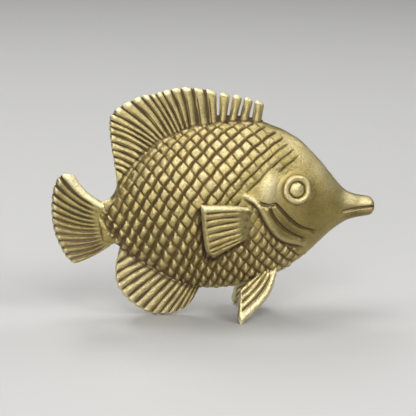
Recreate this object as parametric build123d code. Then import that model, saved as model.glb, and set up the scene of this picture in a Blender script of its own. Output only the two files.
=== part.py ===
"""Brass fish figurine that stands on three fins.

The fish looks along +X, +Z is up and Y = 0 is its mid-plane, with the right side at -Y. It stands on
Z = 0, and the origin is midway between the tail's rim and the lips. A solid cast body carries its
fins as separate castings: plates in slots along the back, the tail root and the belly, pegged fins
on the flanks and under the belly, and an eye ring with a pupil bead in a seat on each cheek.
"""

import os

from build123d import *

# Body, in millimetres like every size here
BODY_LENGTH = 42.0  # tail root to lips
BODY_HEIGHT = 26.2  # belly to back
BODY_THICKNESS = 12.0  # flank to flank
BELLY_CLEARANCE = 4.4  # from the surface that it stands on to the belly
MOUTH_LENGTH = 5.6
MOUTH_GAPE = 0.45
MOUTH_DROP = 0.6  # how far the slit sinks from the lips to its corner
GILL_RELIEF = 0.45
SCALE_PITCH = 3.32  # between deep grooves that rise towards the head, two rows of scales apart
SCALE_PITCH_NEAR_HEAD = 2.65
SCALE_CROSS_PITCH = 3.2  # between deep grooves that fall towards the head
SCALE_CROSS_SLOPE = 50.0  # degrees that these fall
SCALE_GROOVE_WIDTH = 0.45
SCALE_GROOVE_DEPTH = 0.3
SCALE_EDGE = 0.8  # bare band below the back and above the belly

# Joints between the castings
SLOT_DEPTH = 1.5  # of the fin plates in the body's rim
SOLDER_GAP = 0.05  # all round a plate, peg or ring in its seat

# Median fins
DORSAL_HEIGHT = 4.95  # above the back
DORSAL_OVERHANG = 0.9  # of its rear corner behind its rear foot
DORSAL_THICKNESS = 1.8
DORSAL_RAYS = 23
DORSAL_SPINES = 6  # rays at the front that stand apart
SPINE_NOTCH_WIDTH = 0.65
SPINE_NOTCH_DEPTH = 2.0
TAIL_LENGTH = 8.0  # tail root to rim
TAIL_UPPER_REACH = 8.1  # of the lobes above and below the tail root's centre
TAIL_LOWER_REACH = 6.4
TAIL_THICKNESS = 1.6
TAIL_RAYS = 14
TAIL_HEEL = 1.3  # smooth band before the rays
TAIL_SHOULDER = 0.6  # step from the tail's root edges to its tongue
ANAL_THICKNESS = 1.8
ANAL_RAYS = 15
RAY_GROOVE_WIDTH = 0.42
RAY_GROOVE_DEPTH = 0.34
FOOT_GRIND = 0.2  # ground off the fins that it stands on, to make flat feet

# Paired fins
PECTORAL_LENGTH = 7.9
PECTORAL_REAR_HEIGHT = 8.5
PECTORAL_ROOT_HEIGHT = 5.0
PECTORAL_THICKNESS = 1.4  # at its rear edge
PECTORAL_ROOT_THICKNESS = 0.45
PECTORAL_FLARE = 5.0  # degrees that its rear edge stands off the flank
PECTORAL_RAYS = 9
PECTORAL_PEG_DIAMETER = 1.8
PECTORAL_PEG_LENGTH = 2.0
PELVIC_ROOT_SPACING = 4.0
PELVIC_FOOT_SPACING = 13.6
PELVIC_SWEEP = 5.1  # foot behind root
PELVIC_WIDTH = 3.8
PELVIC_THICKNESS = 1.4
PELVIC_RAYS = 4
PELVIC_PEG_DIAMETER = 1.0
PELVIC_PEG_LENGTH = 1.8

# Eyes
EYE_DIAMETER = 4.5
PUPIL_DIAMETER = 2.7
EYE_SEAT_DEPTH = 0.6
EYE_PROUD = 0.55

# Cross-sections of the body from tail root to lips: place along its length, belly and back as shares
# of its height, and flank as a share of half its thickness
BODY_SECTIONS = [
    (0.000, 0.262, 0.510, 0.24),
    (0.034, 0.256, 0.549, 0.32),
    (0.074, 0.223, 0.678, 0.50),
    (0.152, 0.140, 0.808, 0.73),
    (0.280, 0.030, 0.938, 0.93),
    (0.446, 0.000, 0.999, 1.00),
    (0.582, 0.051, 0.990, 0.985),
    (0.650, 0.098, 0.950, 0.93),
    (0.722, 0.181, 0.882, 0.83),
    (0.814, 0.311, 0.730, 0.62),
    (0.877, 0.390, 0.609, 0.40),
    (0.925, 0.422, 0.558, 0.29),
    (0.976, 0.439, 0.544, 0.24),
    (1.000, 0.458, 0.522, 0.15),
]

# Places on the body, as shares of its length and height
DORSAL_ROOT_SPAN = (0.050, 0.583)
ANAL_ROOT_SPAN = (0.060, 0.346)
PECTORAL_ROOT = (0.484, 0.430)
PELVIC_ROOT_ALONG = 0.6155
EYE_CENTRE = (0.698, 0.627)

# Gill ridges, each between two arcs through three places on the body; the inner ridge starts under the
# outer one
GILL_OUTER_ARC = ((0.553, 0.535), (0.617, 0.347), (0.742, 0.265))
GILL_OVERLAP_ARC = ((0.582, 0.525), (0.637, 0.382), (0.736, 0.308))
GILL_MIDDLE_ARC = ((0.594, 0.535), (0.652, 0.402), (0.738, 0.328))
GILL_INNER_ARC = ((0.617, 0.550), (0.672, 0.458), (0.778, 0.374))

# Scales: where they end at the tail and, from the back to the belly, towards the head; a crossing of two
# deep grooves, and the place that the rising grooves are circles about
SCALE_TAIL_END = 0.085
SCALE_HEAD_BORDER = [
    (0.600, 1.100), (0.724, 0.820), (0.655, 0.715), (0.606, 0.740), (0.573, 0.657), (0.515, 0.590),
    (0.545, 0.530), (0.580, 0.425), (0.602, 0.372), (0.676, 0.295), (0.750, 0.245), (0.750, -0.100),
]
SCALE_CROSSING = (0.341, 0.516)
SCALE_POLE = (1.200, -0.363)
SCALE_RISING_STEPS = range(-3, 4)  # grooves counted from the crossing, towards the head and the tail
SCALE_FALLING_STEPS = range(-4, 5)

TAIL_ROOT_X = (TAIL_LENGTH - BODY_LENGTH) / 2
BACK = BELLY_CLEARANCE + BODY_HEIGHT
CUT_MARGIN = 2.0  # how far cutting tools run past what they cut


def lerp(start, end, share):
    """The value at a share of the way from start to end."""
    return start + (end - start) * share


def on_body(along, up):
    """A point of the mid-plane at shares of the body's length and height."""
    return Vector(TAIL_ROOT_X + along * BODY_LENGTH, 0, BELLY_CLEARANCE + up * BODY_HEIGHT)


def side_face(*edges):
    """A face in the mid-plane from edges that join end to end."""
    return make_face(Curve() + list(edges))


def plate(face, thickness):
    """A plate of that thickness, centred on the mid-plane."""
    return extrude(face, amount=thickness / 2, dir=(0, 1, 0), both=True)


def floor_cut():
    """What lies below the surface that the fish stands on."""
    size = 2 * (BODY_LENGTH + TAIL_LENGTH)
    return Pos(0, 0, -size / 2) * Box(size, size, size)


def lofted_body(grow=0.0):
    """The smooth body without carving, or one larger all round by grow."""
    sections = []
    for along, belly, back, flank in BODY_SECTIONS:
        centre = on_body(along, (belly + back) / 2)
        seat = Plane(origin=centre, x_dir=(0, 0, 1), z_dir=(1, 0, 0))
        half_width = flank * BODY_THICKNESS / 2 + grow
        half_height = (back - belly) * BODY_HEIGHT / 2 + grow
        sections.append(seat * Ellipse(half_height, half_width))
    return loft(sections)


def inset_side_face(inset):
    """The body's side view drawn in by inset, for the inner ends of the fin plates."""
    back = [on_body(along, high) - (0, 0, inset) for along, _, high, _ in BODY_SECTIONS]
    belly = [on_body(along, low) + (0, 0, inset) for along, low, _, _ in BODY_SECTIONS]
    inner = slice(1, -4)  # the sections that are taller than two insets
    back, belly = back[inner], belly[inner]
    return side_face(
        Spline(*back),
        Line(back[-1], belly[-1]),
        Spline(*belly[::-1]),
        Line(belly[0], back[0]),
    )


def surface_hit(body, start, direction):
    """The point where a ray from inside leaves the body, and the outward normal there."""
    hits = body.find_intersection_points(Axis(start, direction))
    ahead = [hit for hit in hits if (hit[0] - Vector(start)).dot(Vector(direction)) > 0]
    return ahead[-1]


def root_line_point(body, along, thickness, direction):
    """The mid-plane point at the height where a fin plate's right face leaves the body."""
    start = on_body(along, 0.5) - Vector(0, thickness / 2, 0)
    hit = surface_hit(body, start, direction)[0]
    return Vector(hit.X, 0, hit.Z)


def ray_groove(root, rim, half_thickness, narrowing=0.6):
    """A V-shaped cut on the right face of a plate, from root to past the rim, narrower at the root."""
    run = (rim - root).normalized()
    across = run.cross(Vector(0, 1, 0))
    ends = []
    for point, share in ((root, narrowing), (rim + run * CUT_MARGIN, 1.0)):
        surface = point + Vector(0, -half_thickness, 0)
        lift = Vector(0, -RAY_GROOVE_DEPTH * share, 0)
        side = across * RAY_GROOVE_WIDTH * share
        corners = (surface + lift - side, surface + lift + side, surface - lift)
        ends.append(make_face(Polyline(*corners, close=True)))
    return loft(ends, ruled=True)


def on_both_faces(cuts):
    """The cuts of a plate's right face, with their mirror images on its left face."""
    return cuts + [mirror(cut, about=Plane.XZ) for cut in cuts]


def fin_blank(rim, *root_corners):
    """The side view of a median fin: its free edge, closed by straight lines inside the body."""
    return side_face(rim, Polyline(rim @ 1, *root_corners, rim @ 0)) - inset_side_face(SLOT_DEPTH)


def fin_slot(thickness, *corners):
    """The slot of a median fin, from corners in the mid-plane down to the floor of the slot."""
    face = make_face(Polyline(*corners, close=True)) - inset_side_face(SLOT_DEPTH + SOLDER_GAP)
    return plate(face, thickness + 2 * SOLDER_GAP)


def dorsal_root_corners():
    """The corners of the dorsal fin inside the body, front then rear."""
    return on_body(DORSAL_ROOT_SPAN[1], 0.80), on_body(DORSAL_ROOT_SPAN[0] + 0.018, 0.50)


def dorsal_rim():
    """The dorsal fin's free edge, from its rear foot over the top to the foot of its foremost spine."""
    foot = on_body(DORSAL_ROOT_SPAN[0], 0.66)
    brow = on_body(DORSAL_ROOT_SPAN[1], 1.0)
    corner = Vector(foot.X - DORSAL_OVERHANG, 0, BACK)
    length = brow.X - corner.X
    top = [(0.06, 0.42), (0.18, 0.72), (0.33, 0.88), (0.50, 1.0), (0.67, 0.93), (0.84, 0.77), (0.97, 0.60)]
    crest = [Vector(corner.X + along * length, 0, BACK + up * DORSAL_HEIGHT) for along, up in top]
    bow = Vector(DORSAL_OVERHANG / 4, 0, 0)
    return Wire([Spline(foot, lerp(foot, corner, 0.5) - bow, corner, *crest), Line(crest[-1], brow)])


def dorsal_slot():
    """The slot along the back that holds the dorsal fin."""
    front, heel = dorsal_root_corners()
    foot, brow = dorsal_rim() @ 0, dorsal_rim() @ 1
    ahead, clear = Vector(SOLDER_GAP, 0, 0), Vector(0, 0, DORSAL_HEIGHT)
    corners = heel - ahead, foot - ahead, foot - ahead + clear, brow + ahead + clear, front + ahead
    return fin_slot(DORSAL_THICKNESS, *corners)


def dorsal_ray_lines(body):
    """Root and rim of each gap between dorsal rays, from the rear to the front."""
    rim = dorsal_rim().edges()[0]
    lines = []
    for gap in range(1, DORSAL_RAYS):
        share = gap / DORSAL_RAYS
        along = lerp(DORSAL_ROOT_SPAN[0] + 0.04, DORSAL_ROOT_SPAN[1], share**1.15)
        root = root_line_point(body, along, DORSAL_THICKNESS, (0, 0, 1))
        lines.append((root, rim @ lerp(0.08, 1.0, share)))
    return lines


def spine_notch(root, rim):
    """The gap between two dorsal spines, open at the rim and cut through the plate."""
    run = (rim - root).normalized()
    across = run.cross(Vector(0, 1, 0)) * SPINE_NOTCH_WIDTH / 2
    outer = rim + run * CUT_MARGIN
    inner = rim - run * SPINE_NOTCH_DEPTH
    corners = (outer + across, outer - across, inner - across / 3, inner + across / 3)
    return plate(make_face(Polyline(*corners, close=True)), DORSAL_THICKNESS + CUT_MARGIN)


def make_dorsal_fin(body):
    """A plate of rays, the front ones standing apart as spines."""
    lines = dorsal_ray_lines(body)
    grooves = [ray_groove(root, rim, DORSAL_THICKNESS / 2) for root, rim in lines]
    notches = [spine_notch(root, rim) for root, rim in lines[-(DORSAL_SPINES - 1) :]]
    blank = fin_blank(dorsal_rim(), *dorsal_root_corners())
    return plate(blank, DORSAL_THICKNESS) - on_both_faces(grooves) - notches


def anal_root_corners():
    """The corners of the anal fin inside the body, front then rear."""
    return on_body(ANAL_ROOT_SPAN[1], 0.20), on_body(ANAL_ROOT_SPAN[0] + 0.02, 0.40)


def anal_rim():
    """The anal fin's free edge, from its rear foot under the fish to its front foot."""
    rear = on_body(ANAL_ROOT_SPAN[0], 0.20)
    front = on_body(ANAL_ROOT_SPAN[1], -0.01)
    drop = rear.Z + FOOT_GRIND
    edge = [(-0.07, 0.61), (0.05, 0.29), (0.25, 0.09), (0.47, 0.0), (0.71, 0.03), (0.88, 0.16), (0.97, 0.33)]
    points = [Vector(lerp(rear.X, front.X, along), 0, up * drop - FOOT_GRIND) for along, up in edge]
    return Spline(rear, *points, front)


def anal_slot():
    """The slot along the belly that holds the anal fin."""
    front, heel = anal_root_corners()
    rear_foot, front_foot = anal_rim() @ 0, anal_rim() @ 1
    ahead, clear = Vector(SOLDER_GAP, 0, 0), Vector(0, 0, BELLY_CLEARANCE)
    rear_edge, front_edge = rear_foot - ahead, front_foot + ahead
    corners = heel - ahead, rear_edge, rear_edge - clear, front_edge - clear, front + ahead
    return fin_slot(ANAL_THICKNESS, *corners)


def make_anal_fin(body):
    """A plate of rays with a flat foot."""
    rim = anal_rim()
    grooves = []
    for gap in range(1, ANAL_RAYS):
        share = gap / ANAL_RAYS
        along = lerp(ANAL_ROOT_SPAN[0] + 0.02, ANAL_ROOT_SPAN[1], share)
        root = root_line_point(body, along, ANAL_THICKNESS, (0, 0, -1))
        grooves.append(ray_groove(root, rim @ lerp(0.05, 1.0, share), ANAL_THICKNESS / 2))
    blank = fin_blank(rim, *anal_root_corners())
    return plate(blank, ANAL_THICKNESS) - on_both_faces(grooves) - floor_cut()


def tail_root():
    """The centre of the tail root's end face, and half its height."""
    _, low, high, _ = BODY_SECTIONS[0]
    return on_body(0, (low + high) / 2), (high - low) * BODY_HEIGHT / 2


def tail_outline():
    """The tail fan's upper edge, rim and lower edge."""
    centre, half_root = tail_root()
    shoulder = centre - Vector(SOLDER_GAP, 0, 0)

    def lobe(back, up):
        reach = TAIL_UPPER_REACH if up > 0 else TAIL_LOWER_REACH
        return centre + Vector(-back * TAIL_LENGTH, 0, up * reach)

    upper_tip, lower_tip = lobe(0.70, 1.0), lobe(0.62, -1.0)
    upper = Spline(shoulder + Vector(0, 0, half_root), lobe(0.14, 0.51), lobe(0.45, 0.84), upper_tip)
    middle = lobe(0.91, 0.80), lobe(1.0, 0.20), lobe(0.925, -0.32), lobe(0.75, -0.85)
    rim = Spline(upper_tip, *middle, lower_tip)
    lower = Spline(lower_tip, lobe(0.27, -0.85), shoulder - Vector(0, 0, half_root))
    return upper, rim, lower


def tail_tongue(grow=0.0):
    """The tongue of the tail that the forked tail root holds, or its slot."""
    centre, half_root = tail_root()
    height = 2 * (half_root - TAIL_SHOULDER + grow)
    length = 2 * (SLOT_DEPTH + grow)
    return Pos(centre) * Box(length, TAIL_THICKNESS + 2 * grow, height)


def make_tail_fin():
    """A fan of rays behind a smooth heel."""
    centre, half_root = tail_root()
    rim = tail_outline()[1]
    grooves = []
    for gap in range(1, TAIL_RAYS):
        share = gap / TAIL_RAYS
        heel = centre + Vector(-TAIL_HEEL, 0, lerp(half_root, -half_root, share))
        grooves.append(ray_groove(heel, rim @ share, TAIL_THICKNESS / 2))
    upper, _, lower = outline = tail_outline()
    fan = side_face(*outline, Line(lower @ 1, upper @ 0))
    return plate(fan, TAIL_THICKNESS) + tail_tongue() - on_both_faces(grooves)


def pectoral_seat(body):
    """The plane of the right pectoral fin: X towards the head, Y up and Z out of the flank."""
    point, normal = surface_hit(body, on_body(*PECTORAL_ROOT), (0, -1, 0))
    ahead = Vector(1, 0, 0) - normal * normal.X
    return Plane(origin=point, x_dir=ahead, z_dir=normal).rotated((0, PECTORAL_FLARE, 0))


def pectoral_outline():
    """The right pectoral fin, with its root round the origin and its rays towards -X."""
    front, root = PECTORAL_PEG_DIAMETER, PECTORAL_ROOT_HEIGHT / 2
    rear, length = PECTORAL_REAR_HEIGHT, PECTORAL_LENGTH - PECTORAL_PEG_DIAMETER
    top_rear = (-length, rear * 0.35)
    low_rear = (-length * 0.88, -rear * 0.60)
    tip = (-length * 0.70, -rear * 0.61)
    return make_face(
        Curve()
        + [
            ThreePointArc((0, -root), (front, 0), (0, root)),
            Line((0, root), top_rear),
            Line(top_rear, low_rear),
            ThreePointArc(low_rear, (-length * 0.80, -rear * 0.65), tip),
            Line(tip, (0, -root)),
        ]
    )


def pectoral_taper():
    """A wedge that thins the fin from its rear edge to its root."""
    front, rear = PECTORAL_PEG_DIAMETER, PECTORAL_PEG_DIAMETER - PECTORAL_LENGTH
    corners = [
        Vector(front, 0, PECTORAL_ROOT_THICKNESS),
        Vector(front, 0, -CUT_MARGIN),
        Vector(rear, 0, -CUT_MARGIN),
        Vector(rear, 0, PECTORAL_THICKNESS),
    ]
    return plate(make_face(Polyline(*corners, close=True)), 2 * PECTORAL_REAR_HEIGHT)


def pectoral_grooves():
    """Cuts between the rays on the outer face, fanning from the root."""
    length = PECTORAL_LENGTH - PECTORAL_PEG_DIAMETER
    thinning = (PECTORAL_THICKNESS - PECTORAL_ROOT_THICKNESS) * length / PECTORAL_LENGTH
    grooves = []
    for gap in range(1, PECTORAL_RAYS):
        share = gap / PECTORAL_RAYS
        root = Vector(-length * 0.05, thinning, lerp(0.48, -0.52, share) * PECTORAL_ROOT_HEIGHT)
        rim = Vector(-length, 0, lerp(0.33, -0.66, share) * PECTORAL_REAR_HEIGHT)
        grooves.append(Rot(X=-90) * ray_groove(root, rim, PECTORAL_THICKNESS))
    return grooves


def pectoral_peg(body, grow=0.0):
    """The peg that holds the right pectoral fin in the flank, or its hole."""
    point, normal = surface_hit(body, on_body(*PECTORAL_ROOT), (0, -1, 0))
    inner = Plane(origin=point - normal * (PECTORAL_PEG_LENGTH + grow), z_dir=normal)
    length = PECTORAL_PEG_LENGTH + grow + PECTORAL_ROOT_THICKNESS
    return inner * extrude(Circle(PECTORAL_PEG_DIAMETER / 2 + grow), amount=length)


def make_pectoral_fin(body):
    """A flat fan of rays that leaves the right flank towards its rear edge."""
    blank = extrude(pectoral_outline(), amount=PECTORAL_THICKNESS) & pectoral_taper()
    blade = blank - pectoral_grooves()
    return pectoral_seat(body) * blade - lofted_body(SOLDER_GAP) + pectoral_peg(body)


def pelvic_seat(body):
    """The plane of the right pelvic fin, X down the fin to its foot and Z out, and the fin's length."""
    side = Vector(0, -PELVIC_ROOT_SPACING / 2, 0)
    root = surface_hit(body, on_body(PELVIC_ROOT_ALONG, 0.5) + side, (0, 0, -1))[0]
    foot = Vector(root.X - PELVIC_SWEEP, -PELVIC_FOOT_SPACING / 2, -FOOT_GRIND)
    run = (foot - root).normalized()
    out = Vector(0, -1, 0) - run * Vector(0, -1, 0).dot(run)
    return Plane(origin=root, x_dir=run, z_dir=out), (foot - root).length


def pelvic_outline(length):
    """A leaf with its root at the origin and its foot at +X, fuller towards the tail."""
    half, root = PELVIC_WIDTH / 2, PELVIC_PEG_DIAMETER
    rear = [(length * 0.24, -half * 0.79), (length * 0.47, -half * 1.19), (length * 0.80, -half * 0.72)]
    front = [(length * 0.79, half * 0.62), (length * 0.50, half * 0.81), (length * 0.20, half * 0.65)]
    toe = (length * 0.995, 0), (length, half * 0.17)
    return make_face(
        Curve()
        + [
            Spline((0, -root / 2), *rear, toe[0]),
            Line(*toe),
            Spline(toe[1], *front, (0, root / 2)),
            Line((0, root / 2), (0, -root / 2)),
        ]
    )


def pelvic_peg(body, grow=0.0):
    """The peg that holds the right pelvic fin in the belly, or its hole."""
    seat, _ = pelvic_seat(body)
    inner = Plane(origin=seat.origin - seat.x_dir * (PELVIC_PEG_LENGTH + grow), z_dir=seat.x_dir)
    length = PELVIC_PEG_LENGTH + grow + PELVIC_PEG_DIAMETER
    return inner * extrude(Circle(PELVIC_PEG_DIAMETER / 2 + grow), amount=length)


def make_pelvic_fin(body):
    """A leaf of rays that the fish stands on, on a peg under the belly."""
    seat, length = pelvic_seat(body)
    blade = extrude(pelvic_outline(length), amount=PELVIC_THICKNESS / 2, both=True)
    grooves = []
    for gap in range(1, PELVIC_RAYS):
        share = gap / PELVIC_RAYS
        root = Vector(length * 0.16, 0, lerp(0.3, -0.3, share) * PELVIC_WIDTH / 2)
        rim = Vector(lerp(1.12, 0.36, share) * length, 0, lerp(-0.10, -1.50, share) * PELVIC_WIDTH / 2)
        grooves.append(Rot(X=-90) * ray_groove(root, rim, PELVIC_THICKNESS / 2))
    fin = seat * (blade - grooves)
    return fin - lofted_body(SOLDER_GAP) + pelvic_peg(body) - floor_cut()


def eye_seat(body):
    """The plane of the right eye's seat, sunk in the cheek, with Z out of the cheek."""
    point, normal = surface_hit(body, on_body(*EYE_CENTRE), (0, -1, 0))
    return Plane(origin=point - normal * EYE_SEAT_DEPTH, z_dir=normal)


def make_eye_ring(body):
    """A ring with a rounded crown."""
    outer, inner = EYE_DIAMETER / 2, PUPIL_DIAMETER / 2 + SOLDER_GAP
    crown = (outer - inner) / 2
    top = EYE_SEAT_DEPTH + EYE_PROUD
    section = make_face(
        Curve()
        + [
            Polyline((inner, 0, top - crown), (inner, 0, 0), (outer, 0, 0), (outer, 0, top - crown)),
            ThreePointArc((outer, 0, top - crown), (inner + crown, 0, top), (inner, 0, top - crown)),
        ]
    )
    return eye_seat(body) * revolve(section, Axis.Z)


def make_pupil(body):
    """A bead with a spherical crown on a stem that fills the ring."""
    radius = PUPIL_DIAMETER / 2
    top = EYE_SEAT_DEPTH + EYE_PROUD
    crown = (EYE_DIAMETER - PUPIL_DIAMETER) / 4
    sphere = (radius**2 + crown**2) / (2 * crown)
    stem = extrude(Circle(radius), amount=top)
    return eye_seat(body) * (stem & Pos(0, 0, top - sphere) * Sphere(sphere))


def eye_hole(body):
    """The round seat of the right eye, open outwards."""
    return eye_seat(body) * extrude(Circle(EYE_DIAMETER / 2 + SOLDER_GAP), amount=BODY_THICKNESS / 2)


def mouth_slit():
    """A wedge that parts the lips and closes at the corner of the mouth."""
    _, low, high, _ = BODY_SECTIONS[-1]
    lips = on_body(1, (low + high) / 2)
    corner = lips - Vector(MOUTH_LENGTH, 0, MOUTH_DROP)
    opening = lips + (lips - corner).normalized() * CUT_MARGIN
    gape = Vector(0, 0, MOUTH_GAPE / 2)
    wedge = Polyline(corner, opening + gape, opening - gape, close=True)
    return plate(make_face(wedge), BODY_THICKNESS)


def gill_ridge(outer_places, inner_places, relief):
    """A crescent that stands out of both cheeks between two arcs."""
    outer = ThreePointArc(*[on_body(*place) for place in outer_places])
    inner = ThreePointArc(*[on_body(*place) for place in inner_places])
    crescent = side_face(outer, Line(outer @ 1, inner @ 1), inner, Line(inner @ 0, outer @ 0))
    return plate(crescent, BODY_THICKNESS + 2 * CUT_MARGIN) & lofted_body(relief)


def scale_field():
    """The scaled part of the side view."""
    border = [on_body(*place) for place in SCALE_HEAD_BORDER]
    above, below = (on_body(SCALE_TAIL_END, SCALE_HEAD_BORDER[end][1]) for end in (0, -1))
    return make_face(Polyline(*border, below, above, close=True)) & inset_side_face(SCALE_EDGE)


def scale_net():
    """The deep grooves between the scales in the side view: arcs that rise and bars that fall."""
    crossing, pole = on_body(*SCALE_CROSSING), on_body(*SCALE_POLE)
    grooves = []
    for step in SCALE_RISING_STEPS:
        pitch = SCALE_PITCH if step > 0 else SCALE_PITCH_NEAR_HEAD
        inner = (crossing - pole).length + step * pitch - SCALE_GROOVE_WIDTH / 2
        arc = Circle(inner + SCALE_GROOVE_WIDTH) - Circle(inner)
        grooves.append(Pos(pole) * Rot(X=90) * arc)
    bar = Rectangle(2 * BODY_LENGTH, SCALE_GROOVE_WIDTH)
    for step in SCALE_FALLING_STEPS:
        beside = Rot(Y=SCALE_CROSS_SLOPE) * Pos(0, 0, step * SCALE_CROSS_PITCH)
        grooves.append(Pos(crossing) * beside * Rot(X=90) * bar)
    return (grooves[0] + grooves[1:]) & scale_field()


def scale_grooves():
    """The deep grooves between the scales on both flanks."""
    across = plate(scale_net(), BODY_THICKNESS + 2 * CUT_MARGIN)
    return across - lofted_body(-SCALE_GROOVE_DEPTH)


def make_body(body):
    """The solid cast body with its scales, gills, mouth, fin slots, peg holes and eye seats."""
    ridges = [
        gill_ridge(GILL_OUTER_ARC, GILL_MIDDLE_ARC, GILL_RELIEF),
        gill_ridge(GILL_OVERLAP_ARC, GILL_INNER_ARC, GILL_RELIEF / 2),
    ]
    slots = [dorsal_slot(), anal_slot(), tail_tongue(SOLDER_GAP)]
    seats = [eye_hole(body), pectoral_peg(body, SOLDER_GAP), pelvic_peg(body, SOLDER_GAP)]
    return body - scale_grooves() + ridges - slots - on_both_faces(seats) - mouth_slit()


def main():
    """Builds every casting and writes it to its own file."""
    body = lofted_body()
    castings = {
        "body": make_body(body),
        "dorsal_fin": make_dorsal_fin(body),
        "tail_fin": make_tail_fin(),
        "anal_fin": make_anal_fin(body),
    }
    right_side = {
        "pectoral_fin": make_pectoral_fin(body),
        "pelvic_fin": make_pelvic_fin(body),
        "eye_ring": make_eye_ring(body),
        "pupil": make_pupil(body),
    }
    for name, casting in right_side.items():
        castings[f"right_{name}"] = casting
        castings[f"left_{name}"] = mirror(casting, about=Plane.XZ)

    os.makedirs("parts", exist_ok=True)
    for name, casting in castings.items():
        export_step(casting, f"parts/{name}.step")


main()
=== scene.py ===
"""Dresses the cast brass fish figurine: carved scales, gills and rayed fins in an aged brass finish with
painted highlights and shade.

Lengths are in millimetres until a mesh is written. The fish looks along +X with its right side at -Y. Its
forms were drawn on a side sketch of 416 units, seen a little from behind and above, and Sketch turns
sketch units into places on the fish.
"""

import logging
from collections.abc import Sequence
from dataclasses import dataclass, field
from enum import Enum
from math import cos, radians, sin, tan

import bpy
import numpy as np
from mathutils import Matrix


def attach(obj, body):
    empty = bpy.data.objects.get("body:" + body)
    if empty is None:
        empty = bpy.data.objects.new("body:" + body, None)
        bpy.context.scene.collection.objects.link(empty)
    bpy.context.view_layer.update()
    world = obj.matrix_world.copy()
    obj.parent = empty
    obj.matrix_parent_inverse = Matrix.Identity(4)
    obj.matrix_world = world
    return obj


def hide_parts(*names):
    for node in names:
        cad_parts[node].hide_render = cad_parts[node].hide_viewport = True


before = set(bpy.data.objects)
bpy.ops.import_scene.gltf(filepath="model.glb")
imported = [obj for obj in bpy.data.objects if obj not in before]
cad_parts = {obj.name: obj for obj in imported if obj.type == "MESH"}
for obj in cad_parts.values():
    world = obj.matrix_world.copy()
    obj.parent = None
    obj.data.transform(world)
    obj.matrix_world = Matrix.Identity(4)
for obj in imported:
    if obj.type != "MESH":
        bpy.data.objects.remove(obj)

log = logging.getLogger("fish_figurine")

Array = np.ndarray
Points = Sequence[tuple[float, float]]
MM = 0.001
BODY = "root"
# The finish's name: aged brass with painted highlights and shade.
SLOT = "aged_brass"


class Mark(Enum):
    """How the metal has aged at a place and where light and shade are painted on it, each kept as an
    attribute of the mesh from 0 to 1.
    """

    # Tarnish in the hollows, and painted shade in grooves, creases and at fin roots.
    RECESS = "recess"
    # Polish on raised places, and painted highlights on tops, edges and upper sides.
    CREST = "crest"
    FILM = "film"
    # Olive patina, and painted shade on the lower head, under the snout and on the lower sides of scales.
    PATINA = "patina"


def smooth_step(start: float, end: float, value: Array) -> Array:
    """Rises from 0 at start to 1 at end along 3t^2 - 2t^3.

    Args:
        start: Value at which it leaves 0.
        end: Value at which it reaches 1.
        value: Where to read it.

    Returns:
        The share, with the shape of value.
    """
    t = np.clip((value - start) / (end - start), 0.0, 1.0)
    return t * t * (3.0 - 2.0 * t)


def hill(distance: Array, width: float) -> Array:
    """A bell, e to the minus (distance / width) squared."""
    return np.exp(-((distance / width) ** 2))


def faded_ends(share: Array, start: float, end: float) -> Array:
    """0 at both ends of a line, and 1 between the shares start and end."""
    return smooth_step(0.0, start, share) * (1 - smooth_step(end, 1.0, share))


def blend(ends: tuple[float, float], share: Array) -> Array:
    """The first of ends at share 0, the second at share 1, straight between them."""
    return ends[0] + (ends[1] - ends[0]) * share


def cubic(t: Array, values: tuple[Array, Array], slopes: tuple[Array, Array]) -> Array:
    """A cubic step that starts and ends with given values and slopes.

    Args:
        t: Share of the step.
        values: Its values at the start and the end.
        slopes: Its slopes there, for a step of length 1.

    Returns:
        The values at t.
    """
    start = (1 + 2 * t) * (1 - t) ** 2 * values[0] + t * (1 - t) ** 2 * slopes[0]
    return start + t * t * (3 - 2 * t) * values[1] + t * t * (t - 1) * slopes[1]


def through(knots: Array, values: Array, at: Array) -> Array:
    """A smooth run through given values: a cubic between knots, with the mean slope of both sides at each.

    Args:
        knots: Rising places of the values, (k,).
        values: Values at the knots, (k,) or (k, d).
        at: Where to read it, (n,).

    Returns:
        The values there, (n,) or (n, d).
    """
    flat = values.reshape(len(knots), -1)
    gaps = np.diff(knots)[:, None]
    rates = np.diff(flat, axis=0) / gaps
    inner = (rates[1:] * gaps[:-1] + rates[:-1] * gaps[1:]) / (gaps[1:] + gaps[:-1])
    slopes = np.vstack([rates[:1], inner, rates[-1:]])
    place = np.clip(np.searchsorted(knots, at, side="right") - 1, 0, len(knots) - 2)
    width = gaps[place]
    t = (at - knots[place])[:, None] / width
    run = cubic(t, (flat[place], flat[place + 1]), (width * slopes[place], width * slopes[place + 1]))
    return run.reshape(at.shape + values.shape[1:])


def from_piece(places: Array, start: Array, run: Array) -> tuple[Array, Array]:
    """How far places are from a straight piece, and where along it.

    Args:
        places: Places, (..., 2).
        start: The piece's start.
        run: From its start to its end.

    Returns:
        Distance and share of the piece at the nearest point, each (...).
    """
    gap = places - start
    t = np.clip(gap @ run / (run @ run), 0.0, 1.0)
    off = gap - t[..., None] * run
    return np.hypot(off[..., 0], off[..., 1]), t


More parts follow.
